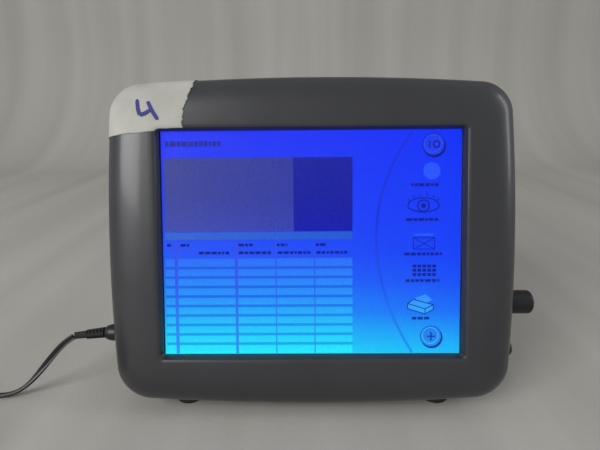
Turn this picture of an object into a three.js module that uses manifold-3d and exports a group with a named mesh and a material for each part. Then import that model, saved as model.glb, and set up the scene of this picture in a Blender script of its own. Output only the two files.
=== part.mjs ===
// An ophthalmic biometer console: a touch-screen instrument that leans back on two rubber feet and a
// hinged rear stand, with the flat lead of its wall adapter plugged into the left side.
//
// Millimetres. The console is built upright in its own frame: x to the right, y to the rear, z up, with
// its origin in the middle of its front. It is then leaned back and lowered onto its feet. The finished
// group has its origin on the table, under the middle of the console and its stand.

import * as THREE from 'three';
import { mergeVertices } from 'three/addons/utils/BufferGeometryUtils.js';
import Module from 'manifold-3d';

const wasm = await Module();
wasm.setup();

// ---------------------------------------------------------------- driving dimensions

const gap = 0.3;            // play between pieces that meet
const embed = 0.6;          // how far a boss or rib is rooted in its wall
const leanDeg = 14;         // the console leans back by this much
const underCase = 3.9;      // air between the table and the lowest point of the casing

const caseHalfWidth = 120;
const caseHalfHeight = 96.8;
const topCorner = 17;
const bottomCorner = 19;
const sideBow = 4.2;        // the sides bow outwards by this much
const endBow = 4.6;         // and so do the top and the bottom
const partingY = 17;        // where the bezel meets the rear cover
const rearY = 58;           // the flat back
const rearInset = 19;       // the back is this much smaller at the sides and the top
const rearInsetBottom = 24; // and this much at the bottom
const caseWall = 2.6;

const edgeDepth = 15;       // the bezel's rounded edge reaches back this far
const crownWidth = 27;      // and its front levels out this far in from the edge
const crownPower = 2.7;
const lipDish = 0.5;
const windowHalfWidth = 86.75;
const windowHalfHeight = 65.1;
const windowCorner = 1.5;
const windowWallEnd = 4.5;

const panelThickness = 1.6;
const panelMargin = 3.4;    // the touch panel reaches this far behind the bezel on each side
const gasketWidth = 2.6;
const frameLip = 0.7;
const frameSide = 14.75;    // the display's frame is this much wider than its window on each side
const frameEnd = 6.1;       // and this much taller at each end
const frameWall = 2.2;
const glassThickness = 2.4;
const diffuserThickness = 4;
const lampRadius = 1.1;

const chassisHalfHeight = 70;
const chassisThickness = 1.5;
const chassisScrewIn = 13;  // from the casing's side
const chassisScrewZ = 49.2;
const chassisEdge = 3.6;    // from the chassis screws to its edge
const standoff = 8;
const boardThickness = 1.6;
const mainBoard = { x: 28, z: 0, width: 140, height: 106 };
const pulserBoard = { x: -67, z: 5, width: 46, height: 70 };
const boardScrewInset = 5;
const inverterBoard = { x: 20, z: 62, width: 110, height: 14 };

const caseScrewIn = 22;     // from the casing's side
const caseScrewDown = 19.8; // from its top and bottom
const caseScrewSeatY = 44;
const pillarRadius = 5.6;
const caseScrewRadius = 1.5;
const caseScrewHead = 3;
const smallScrewRadius = 1.2;
const smallScrewHead = 2.4;

const sideAxisY = 27;       // the depth at which every control and socket is centred
const knobZ = -39.5;
const knobRadius = 7.3;
const knobLength = 16.2;
const knobRise = 1.8;       // from the casing's widest line to the knob's inner face
const knobDome = 2.8;
const shaftRadius = 3;
const bushRadius = 4.5;
const buttonZ = -69;
const buttonRadius = 4.65;
const buttonRise = 6;       // its tip stands this far out from the casing's widest line
const buttonTravel = 2;

const plateThickness = 1.5;
const plateSeat = 1.5;      // from the curved wall's inner face to the socket plate
const plateWindow = { y0: 20.5, y1: 35.5, z0: -66.5, z1: 32 };
const plateMargin = 1.8;
const socketSet = 2;        // the sockets' faces lie this far inside the casing's widest line
const socketDepth = 12;
const dcZ = -58;
const footswitchZ = -36;
const probeZ = -12;
const printerZ = 15;

const hingeZ = -8;
const hingeOut = 4.6;       // the hinge axis lies this far behind the flat back
const pinRadius = 1.5;
const knuckleRadius = 3.6;
const earRadius = 4.3;
const earThickness = 6;
const standHalfWidth = 48;
const standThickness = 3;
const standOpenDeg = 39;    // from lying on the back to its stop
const footX = 78;
const footY = 27;
const footRadius = 8;

const plugRadius = 5.3;
const plugBodyLength = 13;
const bootLength = 12;
const sleeveLength = 8;
const plugDroopDeg = 6;
const barrelRadius = 2.75;

const cordRadius = 1.1;     // a round stand-in, about as thick as the flat lead
const coil = { x: -244, y: -66, inner: 17, outer: 29, z0: 1.2, z1: 10 };
const adapter = {
  x: -244, y: -119, length: 62, width: 40, height: 28, split: 9,
  wall: 2, bootRadius: 3, bootZ: 6, bladeSet: 14,
};

// ---------------------------------------------------------------- places that follow from them

const frameHalfWidth = windowHalfWidth + frameSide;
const frameHalfHeight = windowHalfHeight + frameEnd;
const chassisScrewX = caseHalfWidth - chassisScrewIn;
const chassisHalfWidth = chassisScrewX + chassisEdge;
const caseScrewX = caseHalfWidth - caseScrewIn;
const caseScrewZ = caseHalfHeight - caseScrewDown;
const knobBaseX = caseHalfWidth + knobRise;
const knobTipX = knobBaseX + knobLength;
const buttonTipX = caseHalfWidth + buttonRise;
const socketFaceX = caseHalfWidth - socketSet;
const plugBodyEndX = socketFaceX + plugBodyLength;
const bootEndX = plugBodyEndX + bootLength;
const sleeveEndX = bootEndX + sleeveLength;

// ---------------------------------------------------------------- finishes

const finish = (color, roughness, metalness = 0) =>
  new THREE.MeshStandardMaterial({ color, roughness, metalness });
const charcoal = finish(0x545456, 0.45);
const blackPlastic = finish(0x17171a, 0.4);
const rubber = finish(0x1c1c1e, 0.85);
const foam = finish(0x101012, 0.95);
const panelGlass = finish(0xbfd0e8, 0.05);
const screenBlue = finish(0x2a6cff, 0.3);
const whiteAcrylic = finish(0xf2f2ee, 0.5);
const steel = finish(0xb8bab8, 0.35, 0.9);
const zinc = finish(0x9a9c9c, 0.45, 0.8);
const boardGreen = finish(0x1d5a34, 0.55);
const ribbonGrey = finish(0x9c9ca0, 0.6);
const brass = finish(0xb79a54, 0.35, 0.9);

// ---------------------------------------------------------------- geometry helpers

function solidFrom(geometry) {
  const plain = geometry.clone();
  plain.deleteAttribute('normal');
  plain.deleteAttribute('uv');
  const merged = mergeVertices(plain, 1e-4);
  const vertProperties = Float32Array.from(merged.attributes.position.array);
  const triVerts = Uint32Array.from(merged.index.array);
  return new wasm.Manifold(new wasm.Mesh({ numProp: 3, vertProperties, triVerts }));
}

function geometryFrom(solid) {
  const { vertProperties, triVerts } = solid.getMesh();
  const geometry = new THREE.BufferGeometry();
  geometry.setAttribute('position', new THREE.BufferAttribute(Float32Array.from(vertProperties), 3));
  geometry.setIndex(Array.from(triVerts));
  geometry.computeVertexNormals();
  return geometry;
}

const join = (first, ...others) => geometryFrom(others.map(solidFrom).reduce((a, b) => a.add(b), solidFrom(first)));
const cut = (first, ...others) =>
  geometryFrom(others.map(solidFrom).reduce((a, b) => a.subtract(b), solidFrom(first)));
const common = (first, second) => geometryFrom(solidFrom(first).intersect(solidFrom(second)));

function add(parent, name, geometry, material) {
  const mesh = new THREE.Mesh(geometry, material);
  mesh.name = name;
  parent.add(mesh);
  return mesh;
}

function block(x, y, z) {
  const geometry = new THREE.BoxGeometry(x[1] - x[0], y[1] - y[0], z[1] - z[0]);
  return geometry.translate((x[0] + x[1]) / 2, (y[0] + y[1]) / 2, (z[0] + z[1]) / 2);
}

// A plate across y, given by its middle, width and height.
function plate({ x, z, width, height }, y) {
  return block([x - width / 2, x + width / 2], y, [z - height / 2, z + height / 2]);
}

// A round bar along x, y or z. at holds its other two coordinates, in x, y, z order.
function rod(axis, radius, from, to, at = [0, 0], sides = 20) {
  const low = Math.min(from, to);
  const high = Math.max(from, to);
  const geometry = new THREE.CylinderGeometry(radius, radius, high - low, sides);
  if (axis === 'x') geometry.rotateZ(-Math.PI / 2);
  if (axis === 'z') geometry.rotateX(Math.PI / 2);
  const middle = (low + high) / 2;
  if (axis === 'x') return geometry.translate(middle, at[0], at[1]);
  if (axis === 'y') return geometry.translate(at[0], middle, at[1]);
  return geometry.translate(at[0], at[1], middle);
}

// A turned piece along x: profile holds [distance along x, radius] from one end to the other.
function turned(profile, y, z, sides = 24) {
  const points = profile.map(([along, radius]) => new THREE.Vector2(radius, along));
  const geometry = new THREE.LatheGeometry(points, sides);
  return geometry.rotateZ(-Math.PI / 2).translate(0, y, z);
}

// Skins a run of rings that hold the same number of points. An open run gets a cap at each end.
function loft(rings, endless = false) {
  const count = rings[0].length;
  const positions = rings.flat(2);
  const index = [];
  const spans = endless ? rings.length : rings.length - 1;
  for (let k = 0; k < spans; k += 1) {
    const here = k * count;
    const there = ((k + 1) % rings.length) * count;
    for (let i = 0; i < count; i += 1) {
      const next = (i + 1) % count;
      index.push(here + i, here + next, there + next, here + i, there + next, there + i);
    }
  }
  if (!endless) {
    [0, rings.length - 1].forEach((k) => {
      const middle = positions.length / 3;
      const mean = [0, 1, 2].map((c) => rings[k].reduce((sum, p) => sum + p[c], 0) / count);
      positions.push(...mean);
      for (let i = 0; i < count; i += 1) {
        const edge = [k * count + i, k * count + ((i + 1) % count)];
        if (k === 0) edge.reverse();
        index.push(middle, edge[0], edge[1]);
      }
    });
  }
  if (signedVolume(positions, index) < 0) index.reverse();
  const geometry = new THREE.BufferGeometry();
  geometry.setAttribute('position', new THREE.BufferAttribute(Float32Array.from(positions), 3));
  geometry.setIndex(index);
  geometry.computeVertexNormals();
  return geometry;
}

function signedVolume(positions, index) {
  const corner = (i) => new THREE.Vector3(...positions.slice(3 * i, 3 * i + 3));
  let volume = 0;
  for (let i = 0; i < index.length; i += 3) {
    const [a, b, c] = [corner(index[i]), corner(index[i + 1]), corner(index[i + 2])];
    volume += a.dot(b.cross(c)) / 6;
  }
  return volume;
}

// A closed round tube along a smooth curve through the points.
function tube(points, radius, sides, steps) {
  const curve = new THREE.CatmullRomCurve3(points.map((p) => new THREE.Vector3(...p)), false, 'centripetal');
  const section = Array.from({ length: sides }, (_, i) => {
    const angle = (2 * Math.PI * i) / sides;
    return new THREE.Vector2(radius * Math.cos(angle), radius * Math.sin(angle));
  });
  const options = { steps, bevelEnabled: false, extrudePath: curve };
  return new THREE.ExtrudeGeometry(new THREE.Shape(section), options);
}

// A sheet-like strip that runs along x, folded through the [y, z] points.
function foldedStrip(x, thickness, points) {
  const side = (shift) => points.map(([y, z], i) => {
    const before = points[Math.max(i - 1, 0)];
    const after = points[Math.min(i + 1, points.length - 1)];
    const along = new THREE.Vector2(after[0] - before[0], after[1] - before[1]).normalize();
    return new THREE.Vector2(y - along.y * shift, z + along.x * shift);
  });
  const shape = new THREE.Shape([...side(thickness / 2), ...side(-thickness / 2).reverse()]);
  const geometry = new THREE.ExtrudeGeometry(shape, { depth: x[1] - x[0], bevelEnabled: false });
  const turn = new THREE.Matrix4().makeBasis(
    new THREE.Vector3(0, 1, 0), new THREE.Vector3(0, 0, 1), new THREE.Vector3(1, 0, 0));
  return geometry.applyMatrix4(turn).translate(x[0], 0, 0);
}

// ---------------------------------------------------------------- the casing's form

const cornerSteps = 5;
const sideSteps = 5;
const endSteps = 6;

// A rounded rectangle in x and z whose sides bow outwards: four corner arcs joined by straight runs, then
// drawn in towards the corners by the square of the distance along each side.
function outline({ halfWidth, top, bottom, topRadius, bottomRadius, side, end }) {
  const middle = (top + bottom) / 2;
  const halfHeight = (top - bottom) / 2;
  const corners = [
    [halfWidth - topRadius, top - topRadius, topRadius, endSteps],
    [topRadius - halfWidth, top - topRadius, topRadius, sideSteps],
    [bottomRadius - halfWidth, bottom + bottomRadius, bottomRadius, endSteps],
    [halfWidth - bottomRadius, bottom + bottomRadius, bottomRadius, sideSteps],
  ];
  const onArc = ([x, z, radius], quarter, share) => {
    const angle = (quarter + share) * Math.PI / 2;
    return [x + radius * Math.cos(angle), z + radius * Math.sin(angle)];
  };
  const points = [];
  corners.forEach((corner, quarter) => {
    for (let i = 0; i <= cornerSteps; i += 1) points.push(onArc(corner, quarter, i / cornerSteps));
    const from = onArc(corner, quarter, 1);
    const to = onArc(corners[(quarter + 1) % 4], (quarter + 1) % 4, 0);
    for (let i = 1; i < corner[3]; i += 1) {
      const share = i / corner[3];
      points.push([from[0] + (to[0] - from[0]) * share, from[1] + (to[1] - from[1]) * share]);
    }
  });
  return points.map(([x, z]) => {
    const up = z - middle;
    const drawnX = x * (1 - (side / halfWidth) * (up / halfHeight) ** 2);
    const drawnZ = middle + up * (1 - (end / halfHeight) * (x / halfWidth) ** 2);
    return [drawnX, drawnZ];
  });
}

// The casing's outline, made smaller by an inset at the sides and top and another at the bottom.
function caseOutline(inset, insetBottom) {
  return outline({
    halfWidth: caseHalfWidth - inset,
    top: caseHalfHeight - inset,
    bottom: insetBottom - caseHalfHeight,
    topRadius: topCorner + inset * 0.3,
    bottomRadius: bottomCorner + insetBottom * 0.3,
    side: sideBow,
    end: endBow,
  });
}

const windowOutline = outline({
  halfWidth: windowHalfWidth,
  top: windowHalfHeight,
  bottom: -windowHalfHeight,
  topRadius: windowCorner,
  bottomRadius: windowCorner,
  side: 0,
  end: 0,
});

const faceWidth = caseHalfWidth - windowHalfWidth;

// The ring of the bezel that lies a distance in from the outer edge, at the depth y.
function bezelRing(inwards, y) {
  const share = inwards / faceWidth;
  return caseOutline(0, 0).map(([x, z], i) => {
    const [windowX, windowZ] = windowOutline[i];
    return [x + (windowX - x) * share, y, z + (windowZ - z) * share];
  });
}

// The depth of the bezel's face: a superellipse from the outer edge to the crown, then a slight dish.
function faceDepth(inwards) {
  if (inwards >= crownWidth) {
    return lipDish * ((inwards - crownWidth) / (faceWidth - crownWidth)) ** 2;
  }
  const out = 1 - inwards / crownWidth;
  return edgeDepth * (1 - (1 - out ** crownPower) ** (1 / crownPower));
}

// How far the rear cover has drawn in at the depth y, as shares of its two insets.
const rearShare = (y, power) => {
  const along = Math.min(Math.max((y - partingY) / (rearY - partingY), 0), 1);
  return 1 - (1 - along ** power) ** (1 / power);
};

function rearRing(y, thickness, depthShift) {
  const at = y + depthShift;
  const inset = rearInset * rearShare(at, 2.6) + thickness;
  const insetBottom = rearInsetBottom * rearShare(at, 1.8) + thickness;
  return caseOutline(inset, insetBottom).map(([x, z]) => [x, y, z]);
}

const rearStations = [0, 0.15, 0.33, 0.5, 0.67, 0.81, 0.92, 0.98, 1];

// The rear cover as one solid body: its outer form, or the same form a wall thinner for its inside.
function rearForm(start, thickness) {
  const end = rearY - thickness;
  const rings = rearStations.map((share) =>
    rearRing(start + (end - start) * share, thickness, thickness * share));
  return loft(rings);
}

// The x of the casing's side wall at a depth and height, outside (thickness 0) or inside.
function sideWallX(y, z, thickness = 0) {
  const halfWidth = caseHalfWidth - rearInset * rearShare(y, 2.6) - thickness;
  return halfWidth - sideBow * (z / caseHalfHeight) ** 2;
}

const plateCorner = [plateWindow.y1 + plateMargin, plateWindow.z0 - plateMargin];
const plateOuterX = sideWallX(...plateCorner, caseWall) - plateSeat;

// ---------------------------------------------------------------- casing

const quadrants = [[-1, 1], [1, 1], [-1, -1], [1, -1]];

const ledgeWidth = 7.5;     // the flat behind the window's edge, where the touch panel's seal sits
const caseBoss = { radius: 4.3, inwards: 10, hole: 7 };
const chassisBoss = { radius: 3.4, inwards: 8, hole: 8 };

function frontBezel() {
  const wall = caseWall;
  const ledge = faceWidth - ledgeWidth;
  const innerEdge = [22, 13, 7].map((inwards) => [inwards, faceDepth(inwards - wall) + wall]);
  const outerFace = [0, 1.2, 3.5, 7, 13, 20, crownWidth].map((inwards) => [inwards, faceDepth(inwards)]);
  const profile = [
    [0, partingY],
    ...outerFace,
    [faceWidth - 0.9, faceDepth(faceWidth - 0.9)],
    [faceWidth - 0.25, lipDish + 0.25],
    [faceWidth, lipDish + 0.9],
    [faceWidth, windowWallEnd],
    [ledge, windowWallEnd],
    ...innerEdge,
    [wall, edgeDepth],
    [wall, partingY],
  ];
  const shell = loft(profile.map(([inwards, y]) => bezelRing(inwards, y)), true);
  const bosses = ({ radius, inwards }, x, z) => quadrants.map(([sx, sz]) =>
    rod('y', radius, faceDepth(inwards) + embed, partingY, [sx * x, sz * z]));
  const holes = (boss, radius, x, z) => quadrants.map(([sx, sz]) =>
    rod('y', radius + gap, boss.hole, partingY + 1, [sx * x, sz * z], 12));
  const body = join(shell, ...bosses(caseBoss, caseScrewX, caseScrewZ),
    ...bosses(chassisBoss, chassisScrewX, chassisScrewZ));
  return cut(body, ...holes(caseBoss, caseScrewRadius, caseScrewX, caseScrewZ),
    ...holes(chassisBoss, smallScrewRadius, chassisScrewX, chassisScrewZ));
}

function hingeEars() {
  const axisY = rearY + hingeOut;
  return [-1, 1].flatMap((side) => {
    const inner = standHalfWidth + gap;
    const x = [side * inner, side * (inner + earThickness)].sort((a, b) => a - b);
    const root = block(x, [rearY - caseWall - embed, axisY], [hingeZ - earRadius, hingeZ + earRadius]);
    return [root, rod('x', earRadius, x[0], x[1], [axisY, hingeZ])];
  });
}

const vent = { count: 13, pitch: 8, half: 1.5, z: [28, 60] };

function ventSlots() {
  return Array.from({ length: vent.count }, (_, i) => {
    const x = (i - (vent.count - 1) / 2) * vent.pitch;
    return block([x - vent.half, x + vent.half], [rearY - 2 * caseWall, rearY + 1], vent.z);
  });
}

const speaker = { x: 70, z: -44, radius: 17, depth: 8 };
const grille = { radius: 13.5, pitch: 4.8, half: 1.1 };

function speakerSlots() {
  return [-2, -1, 0, 1, 2].map((step) => {
    const offset = step * grille.pitch;
    const half = Math.sqrt(grille.radius ** 2 - offset ** 2);
    return block([speaker.x - half, speaker.x + half], [rearY - 2 * caseWall, rearY + 1],
      [speaker.z + offset - grille.half, speaker.z + offset + grille.half]);
  });
}

function rearCover() {
  const outer = rearForm(partingY + gap, 0);
  const hollow = rearForm(partingY + gap - 1, caseWall);
  const pillars = quadrants.map(([sx, sz]) =>
    common(rod('y', pillarRadius, partingY + gap, rearY, [sx * caseScrewX, sz * caseScrewZ]), outer));
  const speakerRing = cut(
    rod('y', speaker.radius + 2, rearY - caseWall - 4, rearY - caseWall + embed, [speaker.x, speaker.z], 32),
    rod('y', speaker.radius + gap, rearY - caseWall - 5, rearY - caseWall, [speaker.x, speaker.z], 32));
  const body = join(cut(outer, hollow), ...pillars, ...hingeEars(), speakerRing);
  const wells = quadrants.map(([sx, sz]) =>
    rod('y', caseScrewHead + 0.8, caseScrewSeatY, rearY + 1, [sx * caseScrewX, sz * caseScrewZ], 16));
  const shanks = quadrants.map(([sx, sz]) =>
    rod('y', caseScrewRadius + gap, partingY - 1, rearY, [sx * caseScrewX, sz * caseScrewZ], 12));
  const { y0, y1, z0, z1 } = plateWindow;
  const socketWindow = block([-caseHalfWidth - 1, -plateOuterX], [y0, y1], [z0, z1]);
  const knobHole = rod('x', bushRadius + gap, 110, caseHalfWidth + 1, [sideAxisY, knobZ]);
  const buttonHole = rod('x', buttonRadius + 1 + gap, 110, caseHalfWidth + 1, [sideAxisY, buttonZ]);
  const pinHoles = rod('x', pinRadius + gap, -80, 80, [rearY + hingeOut, hingeZ], 12);
  return cut(body, ...wells, ...shanks, socketWindow, knobHole, buttonHole, pinHoles,
    ...ventSlots(), ...speakerSlots());
}

function caseScrew() {
  const shank = rod('y', caseScrewRadius, 9, caseScrewSeatY + gap + 0.5, [0, 0], 12);
  const head = rod('y', caseScrewHead, caseScrewSeatY + gap, caseScrewSeatY + gap + 2.2, [0, 0], 16);
  return join(shank, head);
}

// ---------------------------------------------------------------- display stack

const panelY = windowWallEnd + gap;
const frameY = panelY + panelThickness + gap;
const glassY = frameY + frameLip + gap;
const diffuserY = glassY + glassThickness + gap;
const frameBackY = partingY + gap;
const chassisY = frameBackY + gap;
const boardY = chassisY + chassisThickness + standoff;
const panelHalf = [windowHalfWidth + panelMargin, windowHalfHeight + panelMargin];

const centred = (halfX, halfZ, y) => block([-halfX, halfX], y, [-halfZ, halfZ]);

function pictureFrame(outerX, outerZ, innerX, innerZ, y) {
  return cut(centred(outerX, outerZ, y), centred(innerX, innerZ, [y[0] - 1, y[1] + 1]));
}

function addDisplay(console_) {
  const [panelX, panelZ] = panelHalf;
  const panelBack = panelY + panelThickness;
  add(console_, 'touch_panel', centred(panelX, panelZ, [panelY, panelBack]), panelGlass);
  const gasket = pictureFrame(panelX + gap + gasketWidth, panelZ + gap + gasketWidth,
    panelX + gap, panelZ + gap, [panelY, panelBack]);
  add(console_, 'panel_gasket', gasket, foam);

  const pocketX = frameHalfWidth - frameWall;
  const pocketZ = frameHalfHeight - frameWall;
  const frameBody = centred(frameHalfWidth, frameHalfHeight, [frameY, frameBackY]);
  const frameWindow = centred(windowHalfWidth, windowHalfHeight + gap, [frameY - 1, frameBackY]);
  const pocket = centred(pocketX, pocketZ, [frameY + frameLip, frameBackY + 1]);
  add(console_, 'display_frame', cut(frameBody, frameWindow, pocket), steel);

  const x = pocketX - gap;
  const z = pocketZ - gap;
  const diffuserEnd = diffuserY + diffuserThickness;
  add(console_, 'display_glass', centred(x, z, [glassY, glassY + glassThickness]), screenBlue);
  const lampRoom = 2 * (lampRadius + gap);
  const diffuser = block([-x, x], [diffuserY, diffuserEnd], [-z + lampRoom, z]);
  add(console_, 'light_guide', diffuser, whiteAcrylic);
  const lampAt = [diffuserY + diffuserThickness / 2, -z + lampRadius + gap];
  add(console_, 'backlight_lamp', rod('x', lampRadius, -x + 2, x - 2, lampAt, 12), whiteAcrylic);
  add(console_, 'display_back_plate', centred(x, z, [diffuserEnd + gap, frameBackY - gap]), zinc);
}

// ---------------------------------------------------------------- electronics

const ribbonSlot = { x: [-30, 0], z: -62 };

function boardCorners({ x, z, width, height }) {
  return quadrants.map(([sx, sz]) =>
    [x + sx * (width / 2 - boardScrewInset), z + sz * (height / 2 - boardScrewInset)]);
}

function chassis() {
  const base = plate({ x: 0, z: 0, width: 2 * chassisHalfWidth, height: 2 * chassisHalfHeight },
    [chassisY, chassisY + chassisThickness]);
  const posts = [...boardCorners(mainBoard), ...boardCorners(pulserBoard)].map((at) =>
    rod('y', 3, chassisY + embed, boardY - gap, at, 12));
  const inverterPosts = [-1, 1].map((side) => {
    const at = [inverterBoard.x + side * (inverterBoard.width / 2 - boardScrewInset), inverterBoard.z];
    return rod('y', 3, chassisY + embed, boardY - 3 - gap, at, 12);
  });
  const holes = quadrants.map(([sx, sz]) => rod('y', smallScrewRadius + gap, chassisY - 1,
    chassisY + chassisThickness + 1, [sx * chassisScrewX, sz * chassisScrewZ], 12));
  const screwHoles = boardCorners(mainBoard).map((at) =>
    rod('y', smallScrewRadius + gap, chassisY - 1, boardY, at, 12));
  const slot = block([ribbonSlot.x[0] - 1, ribbonSlot.x[1] + 1], [chassisY - 1, chassisY + 3],
    [ribbonSlot.z - 1.5, ribbonSlot.z + 1.5]);
  return cut(join(base, ...posts, ...inverterPosts), ...holes, ...screwHoles, slot);
}

// A printed board with its taller components, each given as [x, z, width, height, how tall].
function populatedBoard(board, y, parts, holes) {
  const front = y + boardThickness;
  const components = parts.map(([x, z, width, height, tall]) =>
    plate({ x: board.x + x, z: board.z + z, width, height }, [front - embed, front + tall]));
  const screwHoles = holes.map((at) => rod('y', smallScrewRadius + gap, y - 1, front + 1, at, 12));
  return cut(join(plate(board, [y, front]), ...components), ...screwHoles);
}

const mainComponents = [
  [-20, 8, 28, 28, 2.4], [22, 14, 20, 14, 2], [22, -8, 20, 14, 2], [-22, -28, 22, 10, 3],
  [50, -20, 12, 26, 8], [-50, 24, 8, 30, 6], [10, 38, 40, 6, 5],
];
const pulserComponents = [[0, 0, 26, 30, 2.2], [0, -26, 20, 8, 4]];
const inverterComponents = [[-20, 0, 26, 10, 6], [30, 0, 16, 8, 4]];
const coinCell = { x: 75, z: 24, radius: 10, thickness: 3.2 };

function shieldCan() {
  const y0 = boardY + boardThickness + gap;
  const half = { x: 18, z: 21 };
  const at = { x: pulserBoard.x, z: pulserBoard.z };
  const can = block([at.x - half.x, at.x + half.x], [y0, y0 + 7], [at.z - half.z, at.z + half.z]);
  const inside = block([at.x - half.x + 0.8, at.x + half.x - 0.8], [y0 - 1, y0 + 6.2],
    [at.z - half.z + 0.8, at.z + half.z - 0.8]);
  return cut(can, inside);
}

function smallScrew(y, reach) {
  return join(rod('y', smallScrewRadius, y - reach, y + 0.5, [0, 0], 8),
    rod('y', smallScrewHead, y, y + 1.6, [0, 0], 10));
}

function addElectronics(console_) {
  add(console_, 'chassis_plate', chassis(), zinc);
  const boardFace = boardY + boardThickness;
  const mainHoles = boardCorners(mainBoard);
  add(console_, 'main_board', populatedBoard(mainBoard, boardY, mainComponents, mainHoles), boardGreen);
  add(console_, 'pulser_board', populatedBoard(pulserBoard, boardY, pulserComponents, []), boardGreen);
  add(console_, 'pulser_shield', shieldCan(), steel);
  const inverter = populatedBoard(inverterBoard, boardY - 3, inverterComponents, []);
  add(console_, 'inverter_board', inverter, boardGreen);
  add(console_, 'coin_cell', rod('y', coinCell.radius, boardFace + gap,
    boardFace + gap + coinCell.thickness, [coinCell.x, coinCell.z], 24), steel);

  mainHoles.forEach((at, i) => {
    const mesh = add(console_, `board_screw_${i + 1}`, smallScrew(boardFace + gap, 6), brass);
    mesh.position.set(at[0], 0, at[1]);
  });
  quadrants.forEach(([sx, sz], i) => {
    const y = chassisY + chassisThickness + gap;
    const mesh = add(console_, `chassis_screw_${i + 1}`, smallScrew(y, 8), zinc);
    mesh.position.set(sx * chassisScrewX, 0, sz * chassisScrewZ);
  });

  const ribbonEnd = mainBoard.z - mainBoard.height / 2;
  const ribbonRoute = [
    [frameBackY, ribbonSlot.z], [boardFace + 2, ribbonSlot.z], [boardFace + 4, ribbonSlot.z + 2],
    [boardFace + 4, ribbonEnd + 5], [boardFace + 2.4, ribbonEnd + 8], [boardFace + 0.6, ribbonEnd + 9],
  ];
  add(console_, 'display_ribbon', foldedStrip(ribbonSlot.x, 0.5, ribbonRoute), ribbonGrey);

  const speakerBack = rearY - caseWall - gap;
  const cone = turnedAboutY([[0, 0], [0, 9], [3, 10], [5.5, speaker.radius],
    [speaker.depth, speaker.radius], [speaker.depth, 0]]);
  cone.translate(speaker.x, speakerBack - speaker.depth, speaker.z);
  add(console_, 'speaker', cone, blackPlastic);
}

function turnedAboutY(profile, sides = 28) {
  const points = profile.map(([along, radius]) => new THREE.Vector2(radius, along));
  return new THREE.LatheGeometry(points, sides);
}

// ---------------------------------------------------------------- controls on the right side

const facetPlay = 0.8;      // the curved wall's flats come this much nearer than its true curve
const encoderHalf = 7;
const encoderDepth = 10;
const encoderFloor = 2;
const farY = sideAxisY + encoderHalf;
const nearY = sideAxisY - encoderHalf;
const knobWallInside = sideWallX(farY, knobZ - encoderHalf, caseWall) - facetPlay;
const buttonWallInside = sideWallX(farY, buttonZ - encoderHalf, caseWall) - 2 * facetPlay;

function hexNut(x0, x1, z, acrossFlats, holeRadius) {
  const body = rod('x', acrossFlats / Math.sqrt(3), x0, x1, [sideAxisY, z], 6);
  return cut(body, rod('x', holeRadius, x0 - 1, x1 + 1, [sideAxisY, z], 20));
}

function addKnob(console_) {
  const z = knobZ;
  const at = [sideAxisY, z];
  const nutStart = sideWallX(nearY, z, 0) + gap;
  const bodyStart = knobWallInside - encoderDepth;
  const body = block([bodyStart, knobWallInside], [nearY, farY], [z - encoderHalf, z + encoderHalf]);
  const bush = rod('x', bushRadius, knobWallInside - embed, knobBaseX - gap, at);
  const bore = rod('x', shaftRadius + gap, bodyStart + encoderFloor, knobBaseX + 1, at);
  add(console_, 'encoder_body', cut(join(body, bush), bore), zinc);
  add(console_, 'encoder_nut', hexNut(nutStart, nutStart + 1.8, z, 12, bushRadius + gap), steel);

  const shaftEnd = knobTipX - knobDome - 1.5;
  add(console_, 'encoder_shaft', rod('x', shaftRadius, bodyStart + encoderFloor + gap, shaftEnd, at), brass);
  const domeStart = knobTipX - knobDome;
  const profile = [
    [knobBaseX, shaftRadius + gap], [knobBaseX, knobRadius - 0.4], [knobBaseX + 0.4, knobRadius],
    [domeStart, knobRadius], [domeStart + knobDome * 0.45, knobRadius * 0.86],
    [domeStart + knobDome * 0.85, knobRadius * 0.5], [knobTipX, 0],
    [shaftEnd + gap, 0], [shaftEnd + gap, shaftRadius + gap], [knobBaseX, shaftRadius + gap],
  ];
  add(console_, 'control_knob', turned(profile, sideAxisY, z, 28), blackPlastic);
}

function addPowerButton(console_) {
  const z = buttonZ;
  const at = [sideAxisY, z];
  const bushOuter = buttonRadius + 1;
  const bodyStart = caseScrewX + pillarRadius + 2 * gap;
  const bodyRadius = bushOuter + 0.5;
  const nutStart = sideWallX(nearY, z, 0) + gap;
  const bushEnd = nutStart + 2;
  const bore = rod('x', buttonRadius + gap, bodyStart + 1.5, bushEnd + 1, at, 24);
  const barrel = join(rod('x', bodyRadius, bodyStart, buttonWallInside, at, 24),
    rod('x', bushOuter, buttonWallInside - embed, bushEnd, at, 24));
  add(console_, 'button_body', cut(barrel, bore), blackPlastic);
  const nut = hexNut(nutStart, nutStart + 1.6, z, 2 * bushOuter + 2.4, bushOuter + gap);
  add(console_, 'button_nut', nut, zinc);

  const springStart = bodyStart + 1.5 + gap;
  const springEnd = springStart + buttonTravel + 3;
  const capStart = springEnd + gap;
  const dome = 2.6;
  const domeStart = buttonTipX - dome;
  const profile = [
    [capStart, 0], [capStart, buttonRadius], [domeStart, buttonRadius],
    [domeStart + dome * 0.5, buttonRadius * 0.82], [domeStart + dome * 0.87, buttonRadius * 0.45],
    [buttonTipX, 0],
  ];
  add(console_, 'power_button', turned(profile, sideAxisY, z, 24), blackPlastic);

  const turns = 3;
  const wire = 0.35;
  const coilPoints = Array.from({ length: turns * 8 + 1 }, (_, i) => {
    const angle = (2 * Math.PI * i) / 8;
    const along = springStart + wire + ((springEnd - springStart - 2 * wire) * i) / (turns * 8);
    return [along, sideAxisY + 3 * Math.cos(angle), z + 3 * Math.sin(angle)];
  });
  add(console_, 'button_spring', tube(coilPoints, wire, 4, turns * 8), steel);
}

// ---------------------------------------------------------------- sockets on the left side

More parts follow.
